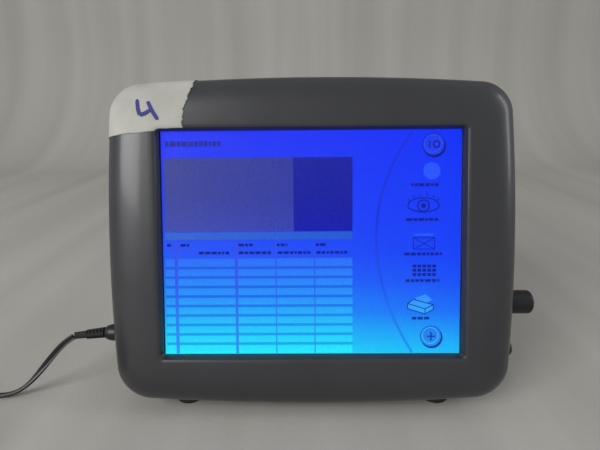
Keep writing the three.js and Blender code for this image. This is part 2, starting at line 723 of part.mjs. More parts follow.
// A socket: a block behind the plate, a round nose through it, and a hole from the nose's face.
function socket(z, noseRadius, holeRadius, holeDepth, body) {
  const at = [sideAxisY, z];
  const back = -plateOuterX + plateThickness + gap;
  const box = block([back, back + body.depth], [sideAxisY - body.half, sideAxisY + body.half],
    [z - body.half, z + body.half]);
  const nose = rod('x', noseRadius, -socketFaceX, back + embed, at, 24);
  const hole = rod('x', holeRadius, -socketFaceX - 1, -socketFaceX + holeDepth, at, 20);
  return cut(join(box, nose), hole);
}

const noses = { dc: 5.6, footswitch: 5.4, probe: 6.2 };
const printerShell = { halfY: 4.4, halfZ: 8.6 };
const printerFlange = { halfY: 6.2, halfZ: 15.4, depth: 10 };

function printerPort() {
  const back = -plateOuterX + plateThickness + gap;
  const { halfY, halfZ } = printerShell;
  const slope = 1.2;
  const shape = new THREE.Shape([
    new THREE.Vector2(-halfY, halfZ), new THREE.Vector2(-halfY, -halfZ),
    new THREE.Vector2(halfY, -halfZ + slope), new THREE.Vector2(halfY, halfZ - slope),
  ]);
  const nose = new THREE.ExtrudeGeometry(shape, { depth: socketFaceX + back + embed, bevelEnabled: false });
  const turn = new THREE.Matrix4().makeBasis(
    new THREE.Vector3(0, 1, 0), new THREE.Vector3(0, 0, 1), new THREE.Vector3(1, 0, 0));
  nose.applyMatrix4(turn).translate(-socketFaceX, sideAxisY, printerZ);
  const flange = block([back, back + printerFlange.depth],
    [sideAxisY - printerFlange.halfY, sideAxisY + printerFlange.halfY],
    [printerZ - printerFlange.halfZ, printerZ + printerFlange.halfZ]);
  return join(nose, flange);
}

function socketPlate() {
  const { y0, y1, z0, z1 } = plateWindow;
  const x = [-plateOuterX, -plateOuterX + plateThickness];
  const sheet = block(x, [y0 - plateMargin, y1 + plateMargin], [z0 - plateMargin, z1 + plateMargin]);
  const through = (z, radius) =>
    rod('x', radius + gap, x[0] - 1, x[1] + 1, [sideAxisY, z], 24);
  const { halfY, halfZ } = printerShell;
  const printerHole = block([x[0] - 1, x[1] + 1], [sideAxisY - halfY - gap, sideAxisY + halfY + gap],
    [printerZ - halfZ - gap, printerZ + halfZ + gap]);
  return cut(sheet, through(dcZ, noses.dc), through(footswitchZ, noses.footswitch),
    through(probeZ, noses.probe), printerHole);
}

function addSockets(console_) {
  add(console_, 'socket_plate', socketPlate(), zinc);
  const dc = socket(dcZ, noses.dc, barrelRadius + gap, 12, { half: 6.1, depth: socketDepth });
  const footswitch = socket(footswitchZ, noses.footswitch, 3.3, 18, { half: 7, depth: socketDepth + 4 });
  const probe = socket(probeZ, noses.probe, 4.4, 10, { half: 7.6, depth: socketDepth });
  add(console_, 'dc_jack', dc, blackPlastic);
  add(console_, 'footswitch_jack', footswitch, blackPlastic);
  add(console_, 'probe_socket', probe, steel);
  add(console_, 'printer_port', printerPort(), blackPlastic);
  const back = -plateOuterX + plateThickness + socketDepth + 2 * gap;
  const leadTop = boardY + boardThickness + 12;
  const lead = tube([
    [back, sideAxisY, probeZ], [back + 2, sideAxisY + 0.6, probeZ], [back + 4.5, sideAxisY + 6, probeZ],
    [pulserBoard.x - 15, leadTop, probeZ - 2], [pulserBoard.x - 3, leadTop, pulserBoard.z - 25],
    [pulserBoard.x, leadTop - 3, pulserBoard.z - 26],
    [pulserBoard.x, boardY + boardThickness + 4 + gap, pulserBoard.z - 26],
  ], 1.2, 6, 16);
  add(console_, 'probe_lead', lead, blackPlastic);
}

// ---------------------------------------------------------------- stand and feet

const lean = THREE.MathUtils.degToRad(leanDeg);
const leanTurn = new THREE.Matrix4().makeRotationX(-lean);

function lowestPoint(geometry) {
  const leaned = geometry.clone().applyMatrix4(leanTurn);
  return new THREE.Box3().setFromBufferAttribute(leaned.attributes.position).min.z;
}

const lift = underCase - lowestPoint(rearForm(partingY + gap, 0));
const hingeHeight = lift + hingeZ * Math.cos(lean) - (rearY + hingeOut) * Math.sin(lean);
const legAngle = THREE.MathUtils.degToRad(standOpenDeg - leanDeg);
const padReach = hingeHeight / Math.cos(legAngle);
const legEnd = padReach - 6;
const standOpen = THREE.MathUtils.degToRad(standOpenDeg);

// The stand in its own frame: its hinge along x at the origin, and its leg along -z.
function standPlate() {
  const barrel = rod('x', knuckleRadius, -standHalfWidth, standHalfWidth, [0, 0], 20);
  const half = standThickness / 2;
  const heel = (hingeOut - gap - half * Math.cos(standOpen)) / Math.sin(standOpen);
  const leg = taperedLeg(half, heel);
  const ribHalf = standHalfWidth - 14;
  const rib = block([-ribHalf, ribHalf], [-half, half + 1.6], [-legEnd + 8, -legEnd + 11]);
  const bores = [-1, 1].map((side) =>
    rod('x', pinRadius + gap, side * (standHalfWidth - 11), side * (standHalfWidth + 1), [0, 0], 12));
  return cut(join(barrel, leg, rib), ...bores);
}

// The leg narrows a little towards its foot.
function taperedLeg(half, heel) {
  const wide = standHalfWidth - 2;
  const narrow = standHalfWidth - 8;
  const shape = new THREE.Shape([
    new THREE.Vector2(-wide, heel), new THREE.Vector2(-narrow, -legEnd),
    new THREE.Vector2(narrow, -legEnd), new THREE.Vector2(wide, heel),
  ]);
  const geometry = new THREE.ExtrudeGeometry(shape, { depth: 2 * half, bevelEnabled: false });
  return geometry.rotateX(Math.PI / 2).translate(0, half, 0);
}

function addStand(console_) {
  const hinge = new THREE.Group();
  hinge.position.set(0, rearY + hingeOut, hingeZ);
  hinge.rotation.x = standOpen;
  console_.add(hinge);
  add(hinge, 'tilt_stand', standPlate(), charcoal);
  [-1, 1].forEach((side) => {
    const name = side < 0 ? 'left' : 'right';
    const inner = standHalfWidth - 9;
    const outer = standHalfWidth + earThickness - 0.5;
    const pin = rod('x', pinRadius, side * inner, side * outer, [rearY + hingeOut, hingeZ], 12);
    add(console_, `stand_pin_${name}`, pin, steel);
    add(hinge, `stand_pad_${name}`, standPad(side), rubber);
  });
}

// A rubber foot around the end of the leg, cut level with the table when the stand is open.
function standPad(side) {
  const x = side * (standHalfWidth - 18);
  const half = standThickness / 2;
  const boot = block([x - 9, x + 9], [-half - 2, half + 2], [-padReach - 6, -legEnd + 5]);
  const slot = block([x - 20, x + 20], [-half - gap, half + gap], [-legEnd - gap, -legEnd + 20]);
  const below = block([x - 30, x + 30], [-40, 40], [-60, 0]);
  below.rotateX(-legAngle).translate(0, 0, -padReach);
  return cut(boot, slot, below);
}

function addFeet(standing) {
  const form = rearForm(partingY + gap, 0).applyMatrix4(leanTurn).translate(0, 0, lift - gap);
  const footWorldY = footY * Math.cos(lean) - caseHalfHeight * Math.sin(lean);
  [-1, 1].forEach((side) => {
    const post = rod('z', footRadius, 0, underCase + 5, [side * footX, footWorldY], 24);
    add(standing, side < 0 ? 'left_foot' : 'right_foot', cut(post, form), rubber);
  });
}

// ---------------------------------------------------------------- supply lead

function addPlug(console_) {
  const z = dcZ;
  const faceX = -socketFaceX - gap;
  const barrel = rod('x', barrelRadius - 0.1, faceX + gap, faceX + 9.5, [sideAxisY, z], 16);
  add(console_, 'dc_plug_barrel', barrel, steel);
  const profile = [
    [-plugBodyEndX, 0], [-plugBodyEndX, 3.6], [-plugBodyEndX + 2.5, plugRadius * 0.9],
    [-plugBodyEndX + 5, plugRadius], [faceX - 0.5, plugRadius], [faceX, plugRadius - 0.5], [faceX, 0],
  ];
  add(console_, 'dc_plug_body', turned(profile, sideAxisY, z, 24), blackPlastic);
  const boot = [
    [-sleeveEndX, 0], [-sleeveEndX, 1.7], [-bootEndX, 2.3], [-bootEndX, 3], [-plugBodyEndX - 2 * gap, 3.4],
    [-plugBodyEndX - 2 * gap, 0],
  ];
  const relief = turned(boot, 0, 0, 20).translate(plugBodyEndX, 0, 0);
  relief.rotateY(THREE.MathUtils.degToRad(-plugDroopDeg)).translate(-plugBodyEndX, sideAxisY, z);
  add(console_, 'dc_plug_boot', relief, rubber);
}

// The lead's route where it isn't coiled, as points on its middle line in the finished frame.
const leadRoute = [
  [-160.6, -29.4, 38.2], [-165, -30, 35.6], [-170, -31, 31.2], [-176, -32.5, 24.6], [-182, -34, 17.6],
  [-188, -35.6, 11], [-194, -37, 5.8], [-201, -38.3, 2.4], [-209, -39, 1.3], [-218, -38.9, 1.2],
  [-229.5, -39.3, 1.8],
];
const tailRoute = [
  [-240.5, -96.2, 2.2], [-230, -96.1, 1.4], [-218, -96, 1.2], [-206, -97.2, 1.2], [-196.5, -102.5, 1.6],
  [-192.5, -110.5, 2.6], [-196, -117.2, 4.6], [-202.4, -119, 6],
];

function addLead(desk) {
  add(desk, 'cord_run', tube(leadRoute, cordRadius, 8, 26), blackPlastic);
  const { inner, outer, z0, z1 } = coil;
  const profile = [[z0, inner], [z0, outer], [z1 - 1, outer], [z1, outer - 1], [z1, inner + 1],
    [z1 - 1, inner], [z0, inner]];
  const ring = turnedAboutY(profile, 32).rotateX(Math.PI / 2).translate(coil.x, coil.y, 0);
  add(desk, 'cord_coil', ring, blackPlastic);
  add(desk, 'cord_tail', tube(tailRoute, cordRadius, 8, 20), blackPlastic);
}

function addAdapter(desk) {
  const x = [adapter.x - adapter.length / 2, adapter.x + adapter.length / 2];
  const y = [adapter.y - adapter.width / 2, adapter.y + adapter.width / 2];
  const { wall, bootRadius, bootZ, bladeSet } = adapter;
  const inset = ([low, high]) => [low + wall, high - wall];
  const base = block(x, y, [0, adapter.split]);
  const baseHollow = block(inset(x), inset(y), [wall, adapter.split + 1]);
  const bootHole = rod('x', bootRadius + gap, x[1] - 4, x[1] + 1, [adapter.y, bootZ], 16);
  add(desk, 'adapter_base', cut(base, baseHollow, bootHole), blackPlastic);

  const cover = block(x, y, [adapter.split + gap, adapter.height]);
  const coverHollow = block(inset(x), inset(y), [adapter.split - 1, adapter.height - wall]);
  const bladeX = adapter.x - bladeSet;
  const bladeHoles = [-1, 1].map((side) => blade(bladeX, side, gap));
  add(desk, 'adapter_cover', cut(cover, coverHollow, ...bladeHoles), blackPlastic);
  const carrierTop = adapter.height - wall - gap;
  const carrier = block([bladeX - 6, bladeX + 6], [adapter.y - 11, adapter.y + 11],
    [carrierTop - 5, carrierTop]);
  add(desk, 'adapter_blades', join(carrier, blade(bladeX, -1, 0), blade(bladeX, 1, 0)), steel);

  const bootTip = tailRoute.at(-1)[0] - 2 * gap;
  const bootProfile = [[x[1] - 3.4, 0], [x[1] - 3.4, bootRadius], [x[1] + 1, bootRadius],
    [bootTip, 2 * cordRadius], [bootTip, 0]];
  add(desk, 'adapter_boot', turned(bootProfile, adapter.y, bootZ, 20), rubber);
}

const prong = { halfWidth: 3.2, halfThickness: 0.75, apart: 12.7, reach: 17 };

function blade(x, side, room) {
  const y = adapter.y + side * prong.apart / 2;
  const halfX = prong.halfWidth + room;
  const halfY = prong.halfThickness + room;
  return block([x - halfX, x + halfX], [y - halfY, y + halfY],
    [adapter.height - 5, adapter.height + prong.reach]);
}

// ---------------------------------------------------------------- assembly

function addCasing(console_) {
  add(console_, 'front_bezel', frontBezel(), charcoal);
  add(console_, 'rear_cover', rearCover(), charcoal);
  quadrants.forEach(([sx, sz], i) => {
    const mesh = add(console_, `case_screw_${i + 1}`, caseScrew(), steel);
    mesh.position.set(sx * caseScrewX, 0, sz * caseScrewZ);
  });
}

function upright() {
  const console_ = new THREE.Group();
  console_.rotation.x = -lean;
  console_.position.z = lift;
  return console_;
}

const standing = new THREE.Group();
const console_ = upright();
standing.add(console_);
addCasing(console_);
addDisplay(console_);
addElectronics(console_);
addKnob(console_);
addPowerButton(console_);
addSockets(console_);
addStand(console_);
addFeet(standing);

const extent = new THREE.Box3().setFromObject(standing, true);
const middle = extent.getCenter(new THREE.Vector3());
standing.position.set(-middle.x, -middle.y, 0);

addPlug(console_);
const desk = new THREE.Group();
addLead(desk);
addAdapter(desk);

const biometer = new THREE.Group();
biometer.name = 'biometer_console';
biometer.add(standing, desk);

export default biometer;
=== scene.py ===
# %% [markdown]
# # An ophthalmic biometer console
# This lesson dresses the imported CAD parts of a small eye-measuring instrument: a dark moulded case with
# a lit touch screen, a black knob and a push button on its right side, and the flat lead of its wall
# adapter plugged into its left side. The CAD parts are loaded as a fixed frame. Surfaces that show are
# worked out again with numpy, from the same formulas as the CAD but on finer grids, and every part gets
# a material made of nodes.

# %% Load the frame
import bpy
import math
import numpy as np
from mathutils import Matrix, Vector


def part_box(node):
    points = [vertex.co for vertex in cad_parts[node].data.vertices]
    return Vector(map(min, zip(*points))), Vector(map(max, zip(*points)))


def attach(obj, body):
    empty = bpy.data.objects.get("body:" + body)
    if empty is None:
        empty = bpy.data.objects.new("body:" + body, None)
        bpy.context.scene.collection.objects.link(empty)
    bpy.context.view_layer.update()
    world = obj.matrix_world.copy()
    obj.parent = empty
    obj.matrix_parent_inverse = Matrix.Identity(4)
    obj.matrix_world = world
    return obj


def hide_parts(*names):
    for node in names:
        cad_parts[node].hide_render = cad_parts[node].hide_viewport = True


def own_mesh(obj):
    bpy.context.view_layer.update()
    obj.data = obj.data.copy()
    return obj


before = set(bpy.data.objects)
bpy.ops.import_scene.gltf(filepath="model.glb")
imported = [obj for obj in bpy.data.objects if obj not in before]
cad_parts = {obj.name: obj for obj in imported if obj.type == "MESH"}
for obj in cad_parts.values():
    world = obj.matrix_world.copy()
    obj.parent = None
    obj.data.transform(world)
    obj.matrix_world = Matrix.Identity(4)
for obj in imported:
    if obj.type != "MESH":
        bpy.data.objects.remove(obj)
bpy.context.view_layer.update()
scene = bpy.context.scene

# %% [markdown]
# The console leans back, so its curves are easiest to write upright, in millimetres, and to lean
# afterwards. The touch panel is a plain block in the middle of the window, so its box says where the
# console's own origin has come to lie.

# %% From the console's own millimetres to the finished place
LEAN = math.radians(14)
PANEL_DEPTH = 5.6  # the middle of the touch panel, behind the front of the case


def lean_back(points):
    """Upright console millimetres to metres on the table: a turn about x by the lean, then a shift."""
    x, y, z = np.moveaxis(np.asarray(points, float), -1, 0)
    leaned = [x, y * math.cos(LEAN) + z * math.sin(LEAN), z * math.cos(LEAN) - y * math.sin(LEAN)]
    return np.stack(leaned, -1) / 1000 + CONSOLE_ORIGIN


CONSOLE_ORIGIN = np.zeros(3)
panel_low, panel_high = (np.array(corner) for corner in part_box("touch_panel"))
CONSOLE_ORIGIN = (panel_low + panel_high) / 2 - lean_back([0, PANEL_DEPTH, 0])
print("the console's origin lies at", CONSOLE_ORIGIN.round(4))

# %% [markdown]
# The camera stands a little above the middle of the screen and looks almost straight at it. The lead's
# spare length is stowed just outside what the camera sees.

# %% The camera
camera = bpy.data.objects.new("camera", bpy.data.cameras.new("camera"))
scene.collection.objects.link(camera)
camera.data.lens = 27
camera.data.sensor_width = 36
camera.data.clip_start, camera.data.clip_end = 0.01, 20
camera.location = lean_back([-3.49, -254.49, 25.6])
PITCH, YAW, ROLL = (math.radians(v) for v in (-17.23, 0.52, 0.55))
camera.rotation_euler = (math.pi / 2 + PITCH, ROLL, YAW)
scene.camera = camera
scene.view_settings.view_transform = "Standard"
print("camera at", [round(v, 4) for v in camera.location])

# %% [markdown]
# ## Helpers
# A surface here is a grid of points: rows run along one parameter and columns along the other. The
# helper below joins neighbouring points into four-sided faces, and can wrap either way round.

# %% Grids, lofts and lathes


def grid_faces(rows, columns, wrap_rows=False, wrap_columns=False, start=0):
    """Point (i, j) has index start + i * columns + j; each face joins (i, j) with (i + 1, j + 1)."""
    i = np.arange(rows if wrap_rows else rows - 1)[:, None]
    j = np.arange(columns if wrap_columns else columns - 1)[None, :]
    below, right = (i + 1) % rows, (j + 1) % columns
    corners = [i * columns + j, i * columns + right, below * columns + right, below * columns + j]
    return start + np.stack([np.broadcast_to(c, (i.size, j.size)) for c in corners], -1).reshape(-1, 4)


def loft(rings, capped=True, endless=False):
    """A closed body through rings of equal length; a cap is one fan about the ring's middle."""
    rings = np.asarray(rings, float)
    rows, columns, _ = rings.shape
    points, faces = [rings.reshape(-1, 3)], [list(f) for f in grid_faces(rows, columns, endless, True)]
    if capped and not endless:
        points += [rings[0].mean(0)[None], rings[-1].mean(0)[None]]
        j = np.arange(columns)
        first, last = rows * columns, rows * columns + 1
        end = (rows - 1) * columns
        faces += [[int(first), int(b), int(a)] for a, b in zip(j, (j + 1) % columns)]
        faces += [[int(last), int(end + a), int(end + b)] for a, b in zip(j, (j + 1) % columns)]
    return np.concatenate(points), faces


def outward(body):
    """Six times the volume is the sum of a . (b x c) over the triangles; where it is negative, turn."""
    points, faces = body
    volume = 0.0
    for count in (3, 4):
        f = np.array([q for q in faces if len(q) == count], int).reshape(-1, count)
        for k in range(1, count - 1):
            a, b, c = points[f[:, 0]], points[f[:, k]], points[f[:, k + 1]]
            volume += (a * np.cross(b, c)).sum()
    return (points, faces) if volume > 0 else (points, [list(f)[::-1] for f in faces])


def merged(*bodies):
    """Several bodies in one mesh, each with its faces outwards."""
    points, faces, count = [], [], 0
    for body in bodies:
        p, f = outward(body)
        points.append(p)
        faces += [[int(v) + count for v in face] for face in f]
        count += len(p)
    return np.concatenate(points), faces


def lathe(profile, y, z, sides=72, ripple=0.0, teeth=0):
    """Rings about an axis along x: each profile point (x, r) becomes a circle of radius r, which may
    carry a ripple of so many teeth."""
    x, r = np.array(profile, float).T
    turn = np.linspace(0, 2 * math.pi, sides, endpoint=False)
    radius = r[:, None] * (1 + ripple * np.cos(teeth * turn))[None]
    along = np.broadcast_to(x[:, None], radius.shape)
    return loft(np.stack([along, y + radius * np.cos(turn), z + radius * np.sin(turn)], -1))


def smooth_profile(points, steps=5, sharp=()):
    """A Catmull-Rom line through the points; those listed as sharp keep their corner."""
    p = np.array(points, float)
    out, last = [], len(p) - 1
    t = np.linspace(0, 1, steps, endpoint=False)[:, None]
    for i in range(last):
        a = p[i] if i in sharp or i == 0 else p[i - 1]
        d = p[i + 1] if i + 1 in sharp or i + 1 == last else p[i + 2]
        b, c = p[i], p[i + 1]
        out.append(0.5 * (2 * b + (c - a) * t + (2 * a - 5 * b + 4 * c - d) * t**2
                          + (3 * b - a - 3 * c + d) * t**3))
    return np.concatenate([*out, p[-1:]])


def new_mesh(name, body):
    """A linked object from points and faces, each closed body facing outwards."""
    points, faces = body
    mesh = bpy.data.meshes.new(name)
    mesh.from_pydata(points.tolist(), [], [[int(v) for v in f] for f in faces])
    mesh.validate()
    obj = bpy.data.objects.new(name, mesh)
    scene.collection.objects.link(obj)
    return obj


def finish_piece(obj, body, material, stands_for=(), smooth=40, weighted=True):
    """Smooth shading with sharp edges above an angle in degrees, a material, and the CAD body."""
    obj.data.shade_smooth()
    obj.data.set_sharp_from_angle(angle=math.radians(smooth))
    if weighted:
        obj.modifiers.new("weighted", "WEIGHTED_NORMAL").keep_sharp = True
    obj.data.materials.clear()
    obj.data.materials.append(material)
    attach(obj, body)
    if stands_for:
        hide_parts(*stands_for)
    print(f"{obj.name}: {len(obj.data.vertices)} points")
    return obj


def console_piece(name, bodies, material, body="console", stands_for=(), smooth=40):
    """A piece written upright in millimetres, leaned back and dressed."""
    points, faces = merged(*bodies)
    return finish_piece(new_mesh(name, (lean_back(points), faces)), body, material, stands_for, smooth)


# %% [markdown]
# ## Materials
# Every finish is built from the same few nodes: noise at one or two scales for the colour and the
# roughness, and a fine noise for the bump. Coordinates come from the object, in metres, so the grain
# has one true size on every part.

# %% A small kit for node materials


class Nodes:
    """A material and its node tree, with short ways to add a noise, a ramp and a bump."""

    def __init__(self, name, **shader):
        self.material = bpy.data.materials.new(name)
        self.material.use_nodes = True
        self.tree = self.material.node_tree
        self.shader = self.tree.nodes["Principled BSDF"]
        self.space = self.tree.nodes.new("ShaderNodeTexCoord").outputs["Object"]
        for socket, value in shader.items():
            self.shader.inputs[socket.replace("_", " ")].default_value = value

    def link(self, a, b):
        self.tree.links.new(a, b)
        return b

    def node(self, kind, **settings):
        made = self.tree.nodes.new("ShaderNode" + kind)
        for key, value in settings.items():
            setattr(made, key, value)
        return made

    def stretched(self, scale):
        """The object's coordinates scaled by (x, y, z), for a grain that runs one way."""
        mapping = self.node("Mapping")
        mapping.inputs["Scale"].default_value = scale
        self.link(self.space, mapping.inputs["Vector"])
        return mapping.outputs["Vector"]

    def noise(self, scale, detail=3.0, roughness=0.55, space=None):
        """Noise with about `scale` cells to the metre."""
        made = self.node("TexNoise")
        made.inputs["Scale"].default_value = scale
        made.inputs["Detail"].default_value = detail
        made.inputs["Roughness"].default_value = roughness
        self.link(space or self.space, made.inputs["Vector"])
        return made.outputs["Fac"]

    def ramp(self, factor, stops):
        """A colour ramp through (position, value or colour) stops."""
        made = self.node("ValToRGB")
        elements = made.color_ramp.elements
        for _ in stops[2:]:
            elements.new(0.5)
        for element, (position, value) in zip(elements, stops):
            element.position = position
            element.color = (*value, 1) if hasattr(value, "__len__") else (value, value, value, 1)
        self.link(factor, made.inputs["Fac"])
        return made.outputs["Color"]

    def between(self, factor, low, high):
        """A number that follows the factor from low to high."""
        made = self.node("MapRange")
        made.inputs["To Min"].default_value = low
        made.inputs["To Max"].default_value = high
        self.link(factor, made.inputs["Value"])
        return made.outputs["Result"]

    def set(self, socket, source):
        self.link(source, self.shader.inputs[socket])

    def bump(self, height, strength, distance=0.0002, under=None):
        made = self.node("Bump")
        made.inputs["Strength"].default_value = strength
        made.inputs["Distance"].default_value = distance
        self.link(height, made.inputs["Height"])
        if under is not None:
            self.link(under, made.inputs["Normal"])
        self.link(made.outputs["Normal"], self.shader.inputs["Normal"])
        return made.outputs["Normal"]


def srgb(red, green, blue):
    """A colour as it looks on a screen, 0 to 255, to the linear numbers of a shader."""
    c = np.array([red, green, blue]) / 255
    return tuple(np.where(c <= 0.04045, c / 12.92, ((c + 0.055) / 1.055) ** 2.4))


# %% [markdown]
# The case is moulded plastic with a satin paint over a fine spark texture. Colour drifts a little over
# a hand's width, and the gloss is uneven where hands have polished it.

# %% Painted case plastic


def moulded(name, dark, light, rough=(0.38, 0.5), grain=1800, strength=0.25, coat=0.0):
    """Two close tones mixed by broad noise, a roughness range, and a fine grain as bump."""
    kit = Nodes(name, Coat_Weight=coat, Coat_Roughness=0.14)
    broad = kit.noise(22, 4)
    kit.set("Base Color", kit.ramp(broad, [(0.3, dark), (0.7, light)]))
    kit.set("Roughness", kit.between(kit.noise(60, 3), *rough))
    kit.bump(kit.noise(grain, 2), strength, 0.00015)
    return kit.material


case_paint = moulded("case_paint", srgb(42, 42, 45), srgb(49, 49, 52), (0.3, 0.4), 1500, 0.3, 0.3)
black_plastic = moulded("black_plastic", srgb(16, 16, 18), srgb(24, 24, 26), (0.34, 0.48), 1200, 0.2)
knob_plastic = moulded("knob_plastic", srgb(11, 11, 12), srgb(17, 17, 18), (0.4, 0.5), 2400, 0.15)
rubber = moulded("rubber", srgb(22, 22, 24), srgb(34, 34, 35), (0.7, 0.9), 900, 0.5)
foam = moulded("foam", srgb(12, 12, 13), srgb(26, 26, 27), (0.9, 1.0), 700, 0.9)
print("plastics:", [m.name for m in bpy.data.materials if m.use_nodes])

# %% [markdown]
# Inside and at the edges there are metals: plated steel for screws and pins, zinc for plates, brass
# for the shaft. Brushing is noise stretched along one axis.

# %% Metals, board, ribbon and acrylic


def metal(name, colour, rough=(0.25, 0.42), brushed=(900, 60, 900)):
    """A metal tone that varies a little, with scratches from a stretched noise."""
    kit = Nodes(name, Metallic=1.0)
    lines = kit.noise(1, 4, 0.6, kit.stretched(brushed))
    tone = tuple(0.86 * c for c in colour)
    kit.set("Base Color", kit.ramp(lines, [(0.3, tone), (0.75, colour)]))
    kit.set("Roughness", kit.between(kit.noise(150), *rough))
    kit.bump(lines, 0.12, 0.00005)
    return kit.material


steel = metal("plated_steel", srgb(196, 198, 198))
zinc = metal("zinc_plate", srgb(170, 173, 174), (0.35, 0.55), (70, 900, 900))
brass = metal("brass", srgb(200, 170, 104))
ribbon = moulded("ribbon", srgb(140, 140, 146), srgb(166, 166, 172), (0.5, 0.65), 400, 0.3)
acrylic = moulded("acrylic", srgb(232, 232, 226), srgb(246, 246, 242), (0.3, 0.45), 600, 0.1)


def circuit_board():
    """Green lacquer over copper: a brick pattern stands for tracks, a noise for the lacquer's tone."""
    kit = Nodes("circuit_board", Coat_Weight=0.4)
    tracks = kit.node("TexBrick", offset=0.5)
    tracks.inputs["Scale"].default_value = 260
    tracks.inputs["Mortar Size"].default_value = 0.03
    tracks.inputs["Color1"].default_value = (*srgb(24, 88, 48), 1)
    tracks.inputs["Color2"].default_value = (*srgb(30, 100, 56), 1)
    tracks.inputs["Mortar"].default_value = (*srgb(70, 130, 78), 1)
    kit.link(kit.space, tracks.inputs["Vector"])
    kit.set("Base Color", tracks.outputs["Color"])
    kit.set("Roughness", kit.between(kit.noise(200), 0.35, 0.5))
    kit.bump(tracks.outputs["Fac"], 0.2, 0.0001)
    return kit.material


board = circuit_board()
print(len(bpy.data.materials), "materials so far")

# %% [markdown]
# ## The case
# The case is two mouldings. Both follow one outline: a rounded rectangle whose sides and ends bow out.
# The bezel is that outline swept inwards to the window along a profile, and the rear cover is the same
# outline drawn in as it goes back. On a finer grid than the CAD's, the curves stay smooth in a close
# view.

# %% The outline and its bow
HALF_WIDTH, HALF_HEIGHT = 120.0, 96.8
WINDOW = (86.75, 65.1)
FACE = HALF_WIDTH - WINDOW[0]
WALL = 2.6
PARTING, REAR = 17.0, 58.0
CORNER_STEPS, SIDE_STEPS, END_STEPS = 14, 30, 36


def outline(half_width, top, bottom, top_radius, bottom_radius, side, end):
    """Corner arcs joined by straight runs; then x shrinks with the square of the height share, and z
    with the square of the width share, which bows the sides and the ends."""
    quarter = np.linspace(0, 1, CORNER_STEPS + 1) * math.pi / 2
    corners = [(half_width - top_radius, top - top_radius, top_radius),
               (top_radius - half_width, top - top_radius, top_radius),
               (bottom_radius - half_width, bottom + bottom_radius, bottom_radius),
               (half_width - bottom_radius, bottom + bottom_radius, bottom_radius)]
    arcs = [np.stack([x + r * np.cos(quarter + k * math.pi / 2), z + r * np.sin(quarter + k * math.pi / 2)], -1)
            for k, (x, z, r) in enumerate(corners)]
    line = []
    for k, arc in enumerate(arcs):
        steps = END_STEPS if k % 2 == 0 else SIDE_STEPS
        share = np.linspace(0, 1, steps + 1)[1:-1, None]
        line += [arc, arc[-1] + (arcs[(k + 1) % 4][0] - arc[-1]) * share]
    x, z = np.concatenate(line).T
    middle, half = (top + bottom) / 2, (top - bottom) / 2
    up = z - middle
    return np.stack([x * (1 - side / half_width * (up / half) ** 2),
                     middle + up * (1 - end / half * (x / half_width) ** 2)], -1)


def case_outline(inset, inset_bottom):
    return outline(HALF_WIDTH - inset, HALF_HEIGHT - inset, inset_bottom - HALF_HEIGHT,
                   17 + 0.3 * inset, 19 + 0.3 * inset_bottom, 4.2, 4.6)


CASE_LINE = case_outline(0, 0)
WINDOW_LINE = outline(*WINDOW, -WINDOW[1], 1.5, 1.5, 0, 0)
print("outline of", len(CASE_LINE), "points")

# %% [markdown]
# The bezel's profile starts at the parting line, rounds over as a quarter of a superellipse, levels out
# into a slight dish, and rolls over the window's lip. Inside, it follows itself one wall thickness
# deeper.

# %% The front bezel
CROWN, EDGE, POWER = 27.0, 15.0, 2.7


def face_depth(inwards):
    """Depth = E * (1 - (1 - (1 - d / C)^p)^(1 / p)) up to the crown, then a shallow square dish."""
    out = np.clip(1 - np.asarray(inwards, float) / CROWN, 0, 1)
    dish = 0.5 * (np.clip(np.asarray(inwards, float) - CROWN, 0, None) / (FACE - CROWN)) ** 2
    return EDGE * (1 - (1 - out**POWER) ** (1 / POWER)) + dish


def swept(profile):
    """Each profile point (d, y) becomes a ring: the outline moved d inwards towards the window."""
    d, y = np.array(profile, float).T
    ring = CASE_LINE[None] + (WINDOW_LINE - CASE_LINE)[None] * (d / FACE)[:, None, None]
    return np.stack([ring[..., 0], np.broadcast_to(y[:, None], ring.shape[:2]), ring[..., 1]], -1)


turn = np.linspace(0, math.pi / 2, 30)
crown = np.stack([CROWN * (1 - np.sin(turn) ** (2 / POWER)), EDGE * (1 - np.cos(turn) ** (2 / POWER))], -1)[::-1]
dish_d = np.linspace(CROWN + 1, FACE - 2.3, 6)
lip_turn = np.linspace(0, math.pi / 2 * 0.8, 6)
lip = np.stack([FACE - 2.3 + 0.9 * np.sin(lip_turn), 1.3 - 0.9 * np.cos(lip_turn)], -1)
inner_d = np.array([24, 22, 19, 16, 13, 10, 7, 5])
profile = np.concatenate([
    [(0.25, PARTING), (0, PARTING - 0.3)], crown, np.stack([dish_d, face_depth(dish_d)], -1)[:-1], lip,
    [(FACE, 3.4), (FACE, 4.2), (FACE - 0.3, 4.5), (FACE - 7.5, 4.5)],
    np.stack([inner_d, face_depth(inner_d - WALL) + WALL], -1), [(WALL, EDGE), (WALL, PARTING)]])
bezel_shell = loft(swept(profile), endless=True)


def tube_y(x, z, radius, bore, y0, y1, sides=24):
    """A tube along y: four rings, outer and inner, closed on themselves."""
    angle = np.linspace(0, 2 * math.pi, sides, endpoint=False)
    rings = [np.stack([x + r * np.cos(angle), np.full(sides, y), z + r * np.sin(angle)], -1)
             for r, y in ((radius, y0), (radius, y1), (bore, y1), (bore, y0))]
    return loft(rings, endless=True)


QUADRANTS = [(-1, 1), (1, 1), (-1, -1), (1, -1)]
bosses = [tube_y(sx * 98, sz * 77, 4.3, 1.8, 6.8, PARTING) for sx, sz in QUADRANTS]
bosses += [tube_y(sx * 107, sz * 49.2, 3.4, 1.5, 7.6, PARTING) for sx, sz in QUADRANTS]
bezel = console_piece("bezel", [bezel_shell, *bosses], case_paint,
                      stands_for=["front_bezel"], smooth=50)

